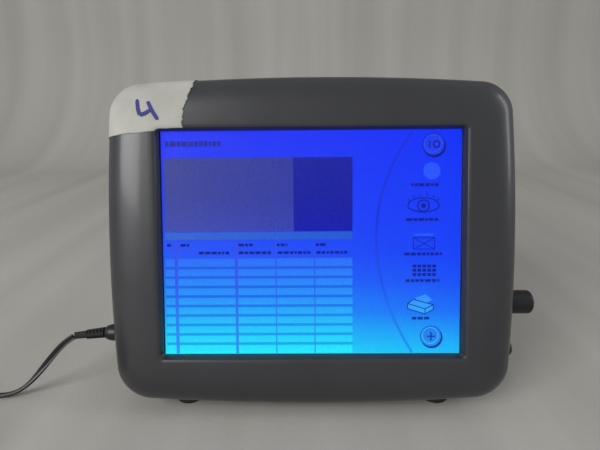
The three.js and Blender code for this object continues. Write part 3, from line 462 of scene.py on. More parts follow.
# %% [markdown]
# The rear cover is a hollow loft. Its openings (screw wells, socket window, knob and button holes,
# vents and speaker slots) are cut with Boolean modifiers, which are then baked into the mesh.

# %% The rear cover's shell and its openings


def rear_share(y, power):
    """How far the cover has drawn in: 1 - (1 - a^p)^(1/p), with a the share of its depth."""
    a = np.clip((y - PARTING) / (REAR - PARTING), 0, 1)
    return 1 - (1 - a**power) ** (1 / power)


def rear_ring(y, at, thickness):
    line = case_outline(19 * rear_share(at, 2.6) + thickness, 24 * rear_share(at, 1.8) + thickness)
    return np.stack([line[:, 0], np.full(len(line), y), line[:, 1]], -1)


def rear_form(start, thickness, rows=34):
    """A superellipse in the depth: stations crowd towards the back, where the form turns quickly."""
    share = np.sin(np.linspace(0, math.pi / 2, rows)) ** 0.9
    end = REAR - thickness
    y = start + (end - start) * share
    return loft(np.stack([rear_ring(v, v + thickness * s, thickness) for v, s in zip(y, share)]))


def side_wall(y, z, thickness=0.0):
    return HALF_WIDTH - 19 * float(rear_share(y, 2.6)) - thickness - 4.2 * (z / HALF_HEIGHT) ** 2


def rod(axis, radius, low, high, u, v, sides=32, ends=0.0):
    """A cylinder along axis 0 (x), 1 (y) or 2 (z), its ends eased by a small chamfer."""
    angle = np.linspace(0, 2 * math.pi, sides, endpoint=False)
    stations = [(low, radius - ends), (low + ends, radius), (high - ends, radius), (high, radius - ends)]
    rings = []
    for along, r in stations if ends else [(low, radius), (high, radius)]:
        across = [u + r * np.cos(angle), v + r * np.sin(angle)]
        across.insert(axis, np.full(sides, along))
        rings.append(np.stack(across, -1))
    return loft(rings)


def slot_box(x, y, z, round_ends=0.0):
    """A block from (x0, x1), (y0, y1), (z0, z1), with its ends along z rounded in the xz plane."""
    if not round_ends:
        ring = np.array([(x[0], z[0]), (x[1], z[0]), (x[1], z[1]), (x[0], z[1])], float)
    else:
        a = np.linspace(0, math.pi, 9)
        mid, r = (x[0] + x[1]) / 2, round_ends
        top = np.stack([mid + r * np.cos(a), z[1] - r + r * np.sin(a)], -1)
        low = np.stack([mid - r * np.cos(a), z[0] + r - r * np.sin(a)], -1)
        ring = np.concatenate([top, low])
    return loft([np.insert(ring, 1, v, axis=1) for v in y])


def boolean(target, bodies, operation):
    """One Boolean with all the bodies as one cutter, baked into the target's mesh."""
    tool = new_mesh("tool", merged(*bodies))
    modifier = target.modifiers.new("cut", "BOOLEAN")
    modifier.operation, modifier.object, modifier.solver = operation, tool, "EXACT"
    modifier.use_self = True
    bpy.context.view_layer.update()
    shaped = target.evaluated_get(bpy.context.evaluated_depsgraph_get())
    mesh = bpy.data.meshes.new_from_object(shaped)
    target.modifiers.clear()
    target.data = mesh
    bpy.data.objects.remove(tool)
    print(target.name, operation, "->", len(mesh.polygons), "faces")


cover = new_mesh("cover", merged(rear_form(PARTING + 0.3, 0)))
pillars = [rod(1, 5.6, PARTING + 0.3, 49, sx * 98, sz * 77) for sx, sz in QUADRANTS]
boolean(cover, [rear_form(PARTING - 0.7, WALL)], "DIFFERENCE")
HINGE_Y, HINGE_Z = REAR + 4.6, -8.0
ears = []
for side in (-1, 1):
    x0, x1 = sorted((side * 48.3, side * 54.3))
    ears += [loft([np.array([(x, REAR - 3.2, HINGE_Z - 4.3), (x, HINGE_Y, HINGE_Z - 4.3),
                             *[(x, HINGE_Y + 4.3 * math.sin(a), HINGE_Z - 4.3 * math.cos(a))
                               for a in np.linspace(0.2, math.pi - 0.2, 12)],
                             (x, HINGE_Y, HINGE_Z + 4.3), (x, REAR - 3.2, HINGE_Z + 4.3)])
                   for x in (x0, x1)])]
boolean(cover, [*pillars, *ears], "UNION")
VENT_X = (np.arange(13) - 6) * 8.0
vents = [slot_box((x - 1.5, x + 1.5), (REAR - 5, REAR + 1), (28, 60), 1.5) for x in VENT_X]
grille = [slot_box((70 - h, 70 + h), (REAR - 5, REAR + 1), (-44 + o - 1.1, -44 + o + 1.1))
          for o in (-9.6, -4.8, 0, 4.8, 9.6) for h in [math.sqrt(13.5**2 - o**2)]]
wells = [rod(1, 3.8, 44, REAR + 1, sx * 98, sz * 77, 28) for sx, sz in QUADRANTS]
shanks = [rod(1, 1.8, 10, 50, sx * 98, sz * 77, 16) for sx, sz in QUADRANTS]
openings = [slot_box((-121, -112.7), (20.5, 35.5), (-66.5, 32)),
            rod(0, 4.8, 110, 121, 27, -39.5), rod(0, 5.95, 108, 121, 27, -69),
            rod(0, 1.8, -80, 80, HINGE_Y, HINGE_Z, 16)]
boolean(cover, [*vents, *grille, *wells], "DIFFERENCE")
boolean(cover, [*shanks, *openings], "DIFFERENCE")
points = np.array([v.co for v in cover.data.vertices])
cover.data.vertices.foreach_set("co", lean_back(points).astype(np.float32).ravel())
cover.data.update()
cover.name = "cover"
finish_piece(cover, "console", case_paint, ["rear_cover"], 38)

# %% [markdown]
# ## The screen
# The picture glows from behind a touch panel. The backlight lies along the bottom edge, so the picture
# is palest there. Each ink on the screen is an emissive material whose colour is a ramp over the height
# of the picture, worked out from the leaned coordinates with a dot product.

# %% Inks of light
UP = (0.0, math.sin(LEAN), math.cos(LEAN))
ACROSS = (1.0, 0.0, 0.0)


def along(kit, direction, low, high):
    """The share of the way from low to high, in console millimetres along a direction."""
    dot = kit.node("VectorMath", operation="DOT_PRODUCT")
    dot.inputs[1].default_value = direction
    kit.link(kit.space, dot.inputs[0])
    shift = float(np.dot(CONSOLE_ORIGIN, direction))
    span = kit.node("MapRange")
    span.inputs["From Min"].default_value = shift + low / 1000
    span.inputs["From Max"].default_value = shift + high / 1000
    kit.link(dot.outputs["Value"], span.inputs["Value"])
    return span.outputs["Result"]


def light_ink(name, left, right=None, speckle=0.0, strength=1.0):
    """Colours from the bottom of the picture (0) to its top (1), on its left and on its right; the greyer,
    lighter left is a painted reflection on the glass.
    """
    kit = Nodes(name, Base_Color=(0, 0, 0, 1), Roughness=0.4, Specular_IOR_Level=0.1,
                Emission_Strength=strength)
    height = along(kit, UP, -WINDOW[1], WINDOW[1])
    colour = kit.ramp(height, [(p, srgb(*c)) for p, c in left])
    # A second ramp, mixed in across the picture, paints a reflection on the glass: greyer and lighter on the
    # left.
    if right:
        other = kit.ramp(height, [(p, srgb(*c)) for p, c in right])
        mix = kit.node("Mix", data_type="RGBA")
        kit.link(along(kit, ACROSS, -WINDOW[0], WINDOW[0]), mix.inputs["Factor"])
        kit.link(colour, mix.inputs["A"])
        kit.link(other, mix.inputs["B"])
        colour = mix.outputs["Result"]
    if speckle:
        grains = kit.ramp(kit.noise(900, 2), [(0.38, (1 - speckle,) * 3), (0.6, (1, 1, 1))])
        product = kit.node("Mix", data_type="RGBA", blend_type="MULTIPLY")
        product.inputs["Factor"].default_value = 1.0
        kit.link(colour, product.inputs["A"])
        kit.link(grains, product.inputs["B"])
        colour = product.outputs["Result"]
    kit.set("Emission Color", colour)
    return kit.material


# The lit screen's left ramp is greyer than its right: a painted reflection on the glass.
lit_screen = light_ink(
    "lit_screen",
    [(0.0, (36, 234, 254)), (0.07, (34, 206, 254)), (0.19, (34, 158, 250)), (0.32, (40, 118, 249)), (0.45, (40,
        90, 248)),
     (0.6, (40, 72, 247)), (1.0, (46, 60, 250))],
    [(0.0, (28, 192, 252)), (0.07, (28, 166, 251)), (0.19, (27, 112, 252)), (0.32, (24, 82, 252)), (0.45, (20,
        66, 252)),
     (1.0, (15, 50, 252))], speckle=0.08)
shade_ink = light_ink("shade_ink", [(0.0, (26, 150, 240)), (0.3, (28, 84, 236)), (0.55, (24, 56, 228)),
                                    (1.0, (26, 48, 222))])
rule_ink = light_ink("rule_ink", [(0.0, (20, 180, 240)), (0.25, (26, 110, 236)), (0.5, (36, 76, 226)),
                                  (1.0, (44, 60, 214))])
row_ink = light_ink("row_ink", [(0.0, (38, 240, 255)), (0.1, (38, 206, 254)), (0.25, (42, 152, 253)),
                                (0.45, (46, 108, 251)), (0.6, (44, 88, 246))], speckle=0.08)
# The strip's greyer left colour is a painted reflection on the glass.
strip_ink = light_ink("strip_ink", [(0.0, (58, 106, 212)), (1.0, (58, 106, 212))], [(0.0, (12, 84, 218)), (1.0,
    (12, 84, 218))],
                      speckle=0.15)
divider_ink = light_ink("divider_ink", [(0.0, (44, 150, 246)), (0.3, (52, 92, 240)), (0.6, (56, 70, 228)),
                                        (1.0, (60, 66, 226))])
# The trace panel is greyer and lighter on the left, a painted reflection on the glass; a darker ink covers the
# right third, past that painted reflection's sharp edge.
trace_ink = light_ink(
    "trace_ink", [(0.5, (72, 84, 184)), (0.7, (68, 76, 162)), (0.92, (70, 76, 152))],
    [(0.5, (34, 52, 188)), (0.7, (34, 46, 178)), (0.92, (34, 44, 178))], speckle=0.16)
trace_ink_past_painted_reflection = light_ink("trace_ink_past_painted_reflection", [(0.5, (22, 34, 184)), (0.7, (30, 38, 172)), (0.92, (36, 44, 170))],
                           [(0.5, (12, 24, 184)), (0.7, (22, 30, 170)), (0.92, (28, 36, 166))], speckle=0.26)
text_ink = light_ink("text_ink", [(0.0, (12, 60, 160)), (0.4, (14, 30, 142)), (1.0, (20, 28, 132))])
title_ink = light_ink("title_ink", [(0.0, (42, 52, 150)), (1.0, (42, 50, 150))])
pale_ink = light_ink("pale_ink", [(0.0, (66, 208, 252)), (0.25, (52, 150, 254)), (0.5, (40, 96, 253)),
                                  (1.0, (42, 82, 252))])
button_ink = light_ink("button_ink", [(0.0, (34, 150, 246)), (0.12, (34, 126, 244)), (0.5, (34, 70, 242)),
                                      (1.0, (34, 62, 240))], speckle=0.08)
# The screen's metal frame is painted dark and bluish: painted shade in the window's recess and painted blue light
# from the screen.
frame_with_painted_light = moulded("frame_painted_shade_and_blue_light", srgb(52, 54, 62), srgb(62, 64, 72), (0.4, 0.5), 500, 0.1)
print("screen inks ready")

# %% [markdown]
# The picture is a waveform panel on the left with a table of readings under it, and a column of round
# and square keys on the right, set off by a faint arc. It is drawn as thin plates in front of the
# display glass. The words are left as short bars, because a part for a library carries no names.

# %% Thin plates for the picture
PICTURE_Y = 7.5


def sheet_plate(ring, layer, thick=0.1):
    """A flat shape in the xz plane, given as its rim, made a thin closed plate on a numbered layer."""
    y = PICTURE_Y - 0.16 * layer
    ring = np.array(ring, float)
    return loft([np.insert(ring, 1, v, axis=1) for v in (y - thick, y)])


def bar(x0, x1, z0, z1, layer=1):
    return sheet_plate([(x0, z0), (x1, z0), (x1, z1), (x0, z1)], layer)


def disc(x, z, radius, layer=1, sides=40, squash=1.0):
    a = np.linspace(0, 2 * math.pi, sides, endpoint=False)
    return sheet_plate(np.stack([x + radius * np.cos(a), z + squash * radius * np.sin(a)], -1), layer)


def stroke(points, width, layer=2, closed=False):
    """A line of constant width: the rim is the path moved half the width to each side."""
    p = np.array(points, float)
    run = np.gradient(p, axis=0) if not closed else np.roll(p, -1, 0) - np.roll(p, 1, 0)
    side = np.stack([-run[:, 1], run[:, 0]], -1) / np.linalg.norm(run, axis=1)[:, None] * width / 2
    y = PICTURE_Y - 0.16 * layer
    rings = np.stack([np.insert(p + side, 1, y - 0.1, 1), np.insert(p - side, 1, y - 0.1, 1),
                      np.insert(p - side, 1, y, 1), np.insert(p + side, 1, y, 1)], 1)
    return loft(rings, endless=closed)


def ring_line(x, z, radius, width, layer=2, squash=1.0, sides=48):
    a = np.linspace(0, 2 * math.pi, sides, endpoint=False)
    return stroke(np.stack([x + radius * np.cos(a), z + squash * radius * np.sin(a)], -1), width, layer, True)


def words(x, z, length, height=1.5, seed=1, layer=2):
    """A line of greeked writing: short bars of uneven length with small spaces."""
    widths = np.random.default_rng(seed).uniform(1.2, 3.4, 40)
    ends = x + np.cumsum(widths + 0.7)
    return [bar(e - w - 0.7, min(e - 0.7, x + length), z, z + height, layer)
            for e, w in zip(ends, widths) if e - w - 0.7 < x + length - 0.6]


TABLE = (-85.6, 24.0)
ROWS = -8.4 - 5.64 * np.arange(1, 10)
heights = np.linspace(64.2, -64.9, 60)
arc_points = np.array([(58.2, 64.0), (47.2, 45.7), (40.4, 26.8), (38.2, 7.6), (39.6, -16.5), (44.5, -35.5),
    (52.3, -52.5),
                       (58.9, -64.9)])
arc_fit = np.polyfit(arc_points[:, 1], arc_points[:, 0], 4)
arc = np.stack([np.polyval(arc_fit, heights), heights], -1)
console_piece("screen_trace", [bar(-85.4, 24.0, 7.2, 50.0)], trace_ink)
# A darker plate over the right third paints the sharp edge of a reflection on the glass.
console_piece("screen_trace_past_painted_reflection", [bar(-10.2, 24.0, 7.2, 50.0, 2)], trace_ink_past_painted_reflection)
console_piece("screen_strip", [bar(*TABLE, 2.5, 6.7)], strip_ink)
console_piece("screen_shades", [stroke(arc, 1.5, 1)], shade_ink)
console_piece("screen_rows", [bar(*TABLE, -64.9, -8.6)], row_ink)
rules = [bar(*TABLE, z - 0.8, z + 0.8, 2) for z in ROWS] + [bar(*TABLE, -8.6, -8.2, 2)]
console_piece("screen_rules", rules, rule_ink)
dividers = [bar(x - w / 2, x + w / 2, -64.9, 1.6, 3) for x, w in ((-79.2, 1.9), (-43.9, 1.7), (-20.7, 0.7),
    (1.9, 0.7))]
console_piece("screen_dividers", dividers, divider_ink)

# %% [markdown]
# The keys are generic: two round bevelled buttons, a light disc, an eye, a crossed square, a keypad and
# a sheet feeding out of a printer.

# %% Keys, pictograms and writing
t = np.linspace(0, math.pi, 24)
lids = [stroke(np.stack([65 - 9 * np.cos(t), 21.6 + s * (4.6 if s > 0 else 3.6) * np.sin(t)], -1), 0.6, 3)
        for s in (1, -1)]
lashes = [stroke([(65 + 8.6 * math.cos(a), 22.2 + 5.2 * math.sin(a)),
                  (65 + 10.4 * math.cos(a), 22.2 + 6.6 * math.sin(a))], 0.5, 3)
          for a in np.linspace(0.5, 2.64, 6)]
eye = [*lids, *lashes, ring_line(65, 21.6, 3.3, 0.7, 3), disc(65, 21.6, 1.4, 3)]
crossed = [stroke(p, 0.4, 3) for p in ([(59.2, 3), (71.7, 3)], [(59.2, -3.6), (71.7, -3.6)],
                                       [(59.3, 3), (59.3, -3.6)], [(71.6, 3), (71.6, -3.6)],
                                       [(59.3, 3), (71.6, -3.6)], [(59.3, -3.6), (71.6, 3)])]
keypad = [bar(59 + 2.85 * i, 61.1 + 2.85 * i, -19.4 + 2.5 * k, -17.7 + 2.5 * k,
    3) for i in range(5) for k in range(3)]
printer = [stroke(p, 0.5, 3) for p in (
    [(56.2, -35.6), (59.6, -33.2)], [(59.6, -33.2), (71.2, -36.4)], [(71.2, -36.4), (71.2, -39)],
    [(71.2, -39), (66.4, -41.8)], [(66.4, -41.8), (56.2, -38.6)], [(56.2, -38.6), (56.2, -35.6)],
    [(56.2, -35.6), (66.4, -38.8)], [(66.4, -38.8), (71.2, -36.4)], [(66.4, -38.8), (66.4, -41.8)])]
marks = [*eye, *crossed, *keypad, *printer,
         stroke([(68.2, 56.8 + v) for v in (-2.0, 2.0)], 0.7, 4), ring_line(72.2, 56.8, 1.8, 0.7, 4),
         stroke([(67.4, -55.1), (72.4, -55.1)], 0.8, 4), stroke([(69.9, -57.6), (69.9, -52.6)], 0.8, 4),
         ring_line(70.5, 56.8, 6.3, 0.35, 4), ring_line(69.9, -55.1, 6.1, 0.35, 4),
         disc(71.1, 55.9, 6.6, 1), disc(70.5, -56.0, 6.4, 1)]
console_piece("screen_marks", marks, text_ink)
captions = [words(57.9, 32.9, 16.2, 1.6, 3), words(55.2, 12.8, 19.4, 1.6, 4), words(54.2, -7.3, 22.4, 1.6, 5),
            words(55.0, -22.9, 19.6, 1.6, 6), words(58.8, -45.2, 10.4, 1.6, 7),
            words(-76.6, -1.4, 5.2, 1.5, 9), words(-42.6, -1.4, 8.4, 1.5, 10), words(-20.0, -1.4, 6, 1.5, 11),
            words(2.6, -1.4, 6, 1.5, 12), words(-66.0, -6.0, 18, 1.5, 13), words(-42.6, -6.0, 19, 1.5, 14),
            words(-19.6, -6.0, 19, 1.5, 15), words(2.9, -6.0, 18, 1.5, 16), words(-84.4, -1.4, 2.4, 1.5, 17)]
console_piece("screen_title", words(-84.0, 56.6, 32, 3.0, 8), title_ink)
console_piece("screen_captions", [b for line in captions for b in line], text_ink)
feed = sheet_plate([(60.6, -32.4), (66.8, -30.2), (70.6, -33.6), (65.4, -36.0)], 2)
body = sheet_plate([(56.2, -35.6), (59.6, -33.2), (71.2, -36.4), (71.2, -39), (66.4, -41.8), (56.2,
    -38.6)][::-1], 2)
pale = [disc(69.7, 41.6, 4.9, 2), bar(60.2, 70.9, 4.2, 5.4, 2), feed, body,
        ring_line(70.1, 57.3, 4.9, 0.5, 4), ring_line(69.5, -54.6, 4.7, 0.5, 4)]
console_piece("screen_pale_marks", pale, pale_ink)
console_piece("screen_keys", [disc(70.5, 56.8, 6.4, 2), disc(69.9, -55.1, 6.2, 2)], button_ink)

# %% [markdown]
# The touch panel is a clear sheet with a faint gloss. The real surface is scratched and a little dusty,
# so its roughness comes from noise; what is behind it must stay sharp, so the roughness stays low.

# %% The touch panel and the screen's metal frame
clear = Nodes("touch_glass", Base_Color=(0.96, 0.98, 1.0, 1), Transmission_Weight=1.0, IOR=1.12)
clear.set("Roughness", clear.between(clear.noise(40, 4), 0.0, 0.05))
clear.bump(clear.noise(18, 2), 0.02, 0.0002)
NODE_FINISH = {"touch_panel": clear.material, "display_glass": lit_screen, "display_frame": frame_with_painted_light}
print("touch panel", clear.material.name)

# %% [markdown]
# ## Masking tape
# A strip of paper tape is pressed over the top left corner. A flat sheet is laid over the crowned
# surface: each point finds its nearest foot on the outline, and beyond a line 8 mm in from the edge it
# travels along the bezel's profile by its own length, so that the strip wraps over the edge without
# stretching. Its right edge is torn.

# %% A strip that wraps over the corner
TAPE_LINE = 8.0


def nearest_foot(points, line):
    """For each point: the nearest place on the closed line, the outward direction there, and how far
    inside the line the point lies."""
    following = np.roll(line, -1, 0)
    run = following - line
    share = ((points[:, None] - line[None]) * run[None]).sum(-1) / (run**2).sum(-1)[None]
    feet = line[None] + np.clip(share, 0, 1)[..., None] * run[None]
    gap = np.linalg.norm(points[:, None] - feet, axis=-1)
    best = gap.argmin(1)
    rows = np.arange(len(points))
    foot, run = feet[rows, best], run[best]
    out = np.stack([run[:, 1], -run[:, 0]], -1) / np.linalg.norm(run, axis=1)[:, None]
    offset = ((foot - points) * out).sum(-1)
    return foot, out, np.where(np.abs(offset) < gap[rows, best] * 0.7, gap[rows, best] * np.sign(offset), offset)


def lay_on_case(flat, lift):
    """Flat points (x, z) to the surface: inside the 8 mm line straight down on the face, and past it
    along the profile from d = 8 over the edge and down the side wall."""
    foot, out, inside = nearest_foot(flat, CASE_LINE)
    d = np.concatenate([np.linspace(TAPE_LINE, 1, 30), 1 - np.linspace(0, 1, 20)[1:] ** 0.5, np.zeros(20)])
    y = np.concatenate([face_depth(d[:49]), EDGE + np.linspace(0.6, 12, 20)])
    length = np.concatenate([[0], np.cumsum(np.hypot(np.diff(d), np.diff(y)))])
    past = np.clip(TAPE_LINE - inside, 0, None)
    wall_d, wall_y = np.interp(past, length, d), np.interp(past, length, y)
    normal = np.stack([np.gradient(y, length), -np.gradient(d, length)], -1)
    lean_out = np.interp(past, length, normal[:, 0])
    on_face = inside >= TAPE_LINE
    plan = np.where(on_face[:, None], flat, foot - out * wall_d[:, None] + out * (lean_out * lift)[:, None])
    depth = np.where(on_face, face_depth(np.clip(inside, 0, FACE)) - lift, wall_y - lift * 0.3)
    return np.stack([plan[:, 0], depth, plan[:, 1]], -1)


def tape_sheet():
    """A grid from the torn right edge to the left, and from the bottom edge up, whose far corner is
    rounded off as it folds round the case."""
    b, a = np.meshgrid(np.linspace(0, 1, 70), np.linspace(0, 1, 80), indexing="ij")
    round_off = 1 - 0.16 * (a * b) ** 4
    up = b * round_off
    torn_z = np.array([0, 0.13, 0.24, 0.47, 1.0])
    torn_x = np.interp(up, torn_z, [-72.1, -72.0, -70.8, -66.7, -64.5])
    torn_x = torn_x + 0.5 * np.sin(23 * up) * np.sin(61 * up + 1) + 0.25 * np.sin(140 * up)
    left = -141.0 + 1.2 * np.sin(9 * up)
    x = torn_x + (left - torn_x) * a * round_off
    low = 65.7 + (60.4 - 65.7) * a + 0.15 * np.sin(30 * a)
    z = low + (117.5 - low) * up
    flat = np.stack([x, z], -1).reshape(-1, 2)
    wrinkle = 0.10 * (np.sin(0.55 * x - 0.3 * z) * np.sin(0.21 * z + 0.4 * x) + 1).ravel()
    points = lay_on_case(flat, 0.28 + wrinkle)
    return points, [list(f) for f in grid_faces(70, 80)]


def depth_in_case(points):
    """How far back a point lies, in console millimetres: the lean undone."""
    _, y, z = (points - CONSOLE_ORIGIN).T
    return 1000 * (y * math.cos(LEAN) - z * math.sin(LEAN))


def press_on(sheet, gap):
    """Pulls a sheet down to a small gap above the bezel wherever it lies on the bezel, then gives it a
    paper's thickness."""
    coordinates = np.empty(3 * len(sheet.data.vertices))
    sheet.data.vertices.foreach_get("co", coordinates)
    bezel_side = np.flatnonzero(depth_in_case(coordinates.reshape(-1, 3)) < PARTING - 1.5)
    sheet.vertex_groups.new(name="bezel").add([int(i) for i in bezel_side], 1.0, "REPLACE")
    wrap = sheet.modifiers.new("press", "SHRINKWRAP")
    wrap.target, wrap.offset, wrap.vertex_group = bezel, gap, "bezel"
    wrap.wrap_method, wrap.wrap_mode = "NEAREST_SURFACEPOINT", "ABOVE_SURFACE"
    thickness = sheet.modifiers.new("paper", "SOLIDIFY")
    thickness.thickness, thickness.offset = 0.00012, 1


tape_points, tape_faces = tape_sheet()
tape = new_mesh("tape", (lean_back(tape_points), tape_faces))
front = np.array([f.normal for f in tape.data.polygons]).mean(0)
if front[1] > 0:
    tape.data.flip_normals()
press_on(tape, 0.00030)
paper = Nodes("masking_tape", Roughness=0.75)
crepe = paper.noise(1, 3, 0.5, paper.stretched((900, 900, 120)))
paper.set("Base Color", paper.ramp(paper.noise(45, 5), [(0.3, srgb(168, 167, 158)), (0.72, srgb(188, 187, 178))]))
paper.bump(crepe, 0.5, 0.00012)
finish_piece(tape, "console", paper.material, smooth=60, weighted=False)

# %% [markdown]
# A shelf number was written on the tape with a marker. Its strokes are flat ribbons laid on the same
# surface a hair above the tape, in ink that has sunk unevenly into the paper.

# %% The marker's strokes


def inked(points, width=2.2, lift=0.75):
    """A ribbon along a smoothed path, laid on the case like the tape, with round ends."""
    path = smooth_profile(points, 8, sharp=range(1, len(points) - 1))
    run = np.gradient(path, axis=0)
    side = np.stack([-run[:, 1], run[:, 0]], -1) / np.linalg.norm(run, axis=1)[:, None]
    share = np.linspace(0, 1, len(path))
    half = width / 2 * np.clip(np.sqrt(1 - (2 * share - 1) ** 8), 0.25, 1)
    across = np.linspace(-1, 1, 5)
    flat = path[:, None] + side[:, None] * (half[:, None] * across[None])[..., None]
    top = lay_on_case(flat.reshape(-1, 2), lift).reshape(len(path), 5, 3)
    under = lay_on_case(flat.reshape(-1, 2), lift - 0.12).reshape(len(path), 5, 3)
    rings = np.concatenate([top, under[:, ::-1]], 1)
    return loft(rings)


digit = [inked([(-97.4, 82.6), (-96.8, 77.0), (-95.8, 73.4)]), inked([(-95.8, 73.4), (-92.7, 74.5), (-89.6,
    76.5)]),
         inked([(-91.8, 82.2), (-88.8, 75.8), (-85.7, 70.8)])]
ink = Nodes("marker_ink", Roughness=0.6)
ink.set("Base Color", ink.ramp(ink.noise(300, 4), [(0.3, srgb(30, 30, 112)), (0.7, srgb(44, 44, 136))]))
console_piece("tape_number", digit, ink.material)

# %% [markdown]
# ## Knob and button
# Both turn or slide about lines along x, so each is a lathe form: a profile of (x, radius) points,
# smoothed where the moulding is rounded. They are written upright and leaned with the console, and
# they ride on their own bodies.

# %% The knob, the push button and their nuts
SIDE_Y, KNOB_Z, BUTTON_Z = 27.0, -39.5, -69.0
dome_t = np.linspace(0, math.pi / 2, 14)
dome = np.stack([135.2 + 2.8 * np.sin(dome_t), 7.3 * np.cos(dome_t) ** 0.62], -1)[:-1]
knob_profile = np.concatenate([
    [(132.0, 0.02), (132.0, 3.3), (121.8, 3.3), (121.8, 6.6), (122.0, 7.0), (122.5, 7.25), (123.4, 7.3)],
    [(129, 7.3), (134.0, 7.3)], dome, [(138.0, 0.02)]])
console_piece("knob_cap", [lathe(knob_profile, SIDE_Y, KNOB_Z, 96)], knob_plastic, "knob",
              ["control_knob"], 35)
button_low = np.array(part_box("power_button"))
button_start = (button_low[0][0] - CONSOLE_ORIGIN[0]) * 1000
button_dome = np.stack([123.4 + 2.6 * np.sin(dome_t), 4.65 * np.cos(dome_t) ** 0.7], -1)[:-1]
button_profile = np.concatenate([[(button_start, 0.02), (button_start, 4.4), (button_start + 0.3, 4.65)],
                                 button_dome, [(126.0, 0.02)]])
console_piece("button_cap", [lathe(button_profile, SIDE_Y, BUTTON_Z, 72)], black_plastic,
              "power_button", ["power_button"], 35)

# %% [markdown]
# ## The adapter's plug
# The plug is moulded in three steps: a smooth body, a strain relief with square notches that let it
# bend, and a sleeve that thins down to the flat lead. The relief droops six degrees, as its lead pulls.

# %% Plug body and notched strain relief
JACK_Z, PLUG_END, RELIEF_END, SLEEVE_END = -58.0, -131.0, -143.0, -151.0
body_profile = smooth_profile(
    [(PLUG_END, 0.05), (PLUG_END, 2.9), (-130.5, 3.7), (-129.2, 4.5), (-127.2, 5.1), (-124.8, 5.3), (-119.0, 5.3),
     (-118.5, 5.15), (-118.3, 4.8), (-118.3, 0.05)], 5, sharp=(1, 6, 8))
console_piece("plug_body", [lathe(body_profile, SIDE_Y, JACK_Z, 64)], black_plastic,
              stands_for=["dc_plug_body"], smooth=35)


def notched_relief():
    """Rings along the relief: the radius falls from 3.35 to 2.9, is cut to 2.35 in five grooves, and
    each groove is bridged by four bars; the sleeve then flattens from round to the lead's oval."""
    x = np.linspace(PLUG_END - 0.6, RELIEF_END, 90)
    share = (x - x[0]) / (x[-1] - x[0])
    outer = 3.35 - 0.45 * share
    wave = np.clip(np.cos(2 * math.pi * 5 * share) * 3, -1, 1)
    angle = np.linspace(0, 2 * math.pi, 64, endpoint=False)
    bars = np.clip(np.cos(4 * angle) * 3, -1, 1)
    cut = np.minimum((1 - wave) / 2, 1)[:, None] * ((1 - bars) / 2)[None]
    radius = outer[:, None] - 0.8 * cut
    relief = np.stack([np.broadcast_to(x[:, None], radius.shape), radius * np.cos(angle),
        radius * np.sin(angle)], -1)
    sx = np.linspace(RELIEF_END - 0.01, SLEEVE_END, 16)
    s = np.linspace(0, 1, 16)
    wide, thin = 2.35 - 0.15 * s, 2.35 - 1.15 * s
    sleeve = np.stack([np.broadcast_to(sx[:, None], (16, 64)), thin[:, None] * np.cos(angle),
                       wide[:, None] * np.sin(angle)], -1)
    points, faces = loft(np.concatenate([relief, sleeve]))
    droop = math.radians(-6)
    px = points[:, 0] - PLUG_END
    turned = np.stack([px * math.cos(droop) + points[:, 2] * math.sin(droop), points[:, 1],
                       points[:, 2] * math.cos(droop) - px * math.sin(droop)], -1)
    return turned + [PLUG_END, SIDE_Y, JACK_Z], faces


console_piece("plug_relief", [notched_relief()], rubber, stands_for=["dc_plug_boot"], smooth=35)

# %% [markdown]
# ## The lead
# The lead is a flat pair, 4 mm wide and 2 mm thick, and 1.5 m long, as such an adapter's usually is. It
# droops from the plug to the table, and its spare length is put away in a round coil held by a tie,
# then runs on into the adapter. It is one path; the section is carried along it, and it turns from
# upright at the plug to flat on the table.

# %% The lead's path
LEAD_ROUTE = np.array([
    (-160.6, -29.4, 38.2), (-165, -30, 35.6), (-170, -31, 31.2), (-176, -32.5, 24.6), (-182, -34, 17.6),
    (-188, -35.6, 11), (-194, -37, 5.8), (-201, -38.3, 2.4), (-209, -39, 1.3), (-218, -38.9, 1.2),
    (-229.5, -39.3, 1.2)])
TAIL_ROUTE = np.array([
    (-230, -96.1, 2.2), (-218, -96, 1.2), (-206, -97.2, 1.2), (-196.5, -102.5, 1.6), (-192.5, -110.5, 2.6),
    (-196, -117.2, 4.6), (-202.4, -119, 6)])
COIL_X, COIL_Y = -244.0, -66.0
LEAD_LENGTH, LEAD_WIDE, LEAD_THICK = 1.5, 4.0, 2.0
TURNS = 9.5


def coil_points(middle, count=400):
    """Angle from the back, anticlockwise; three columns of three layers, each held for most of a turn
    and then crossing smoothly into the next, and half a turn over the top on the way out."""
    turns = np.linspace(0, TURNS, count)
    columns = np.array([1, 1, 1, 0, 0, 0, -1, -1, -1, 1.12])
    layers = np.array([0, 1, 2, 2, 1, 0, 0, 1, 2, 3])
    index = np.clip(np.floor(turns).astype(int), 0, 9)
    ease = np.clip((turns - index - 0.72) / 0.28, 0, 1)
    ease = ease * ease * (3 - 2 * ease)
    following = np.clip(index + 1, 0, 9)
    column = columns[index] + (columns[following] - columns[index]) * ease
    layer = layers[index] + (layers[following] - layers[index]) * ease
    column[turns > 9] = columns[9]
    lift = np.clip((turns - 8.45) / 0.8, 0, 1)
    lift = lift * lift * (3 - 2 * lift)
    column = np.where(turns > 8.45, -1 + 2.12 * lift, column)
    layer = np.where(turns > 8.45, 2 + 1.05 * np.clip((turns - 8.45) / 0.25, 0, 1), layer)
    layer = np.where(turns > 9.3, 3.05 - 1.9 * np.clip((turns - 9.3) / 0.2, 0, 1) ** 2, layer)
    radius = middle + 4.15 * column
    angle = math.pi / 2 + 2 * math.pi * turns
    return np.stack([COIL_X + radius * np.cos(angle), COIL_Y + radius * np.sin(angle), 1.2 + 2.12 * layer], -1)


def path_length(points):
    return float(np.linalg.norm(np.diff(points, axis=0), axis=1).sum())


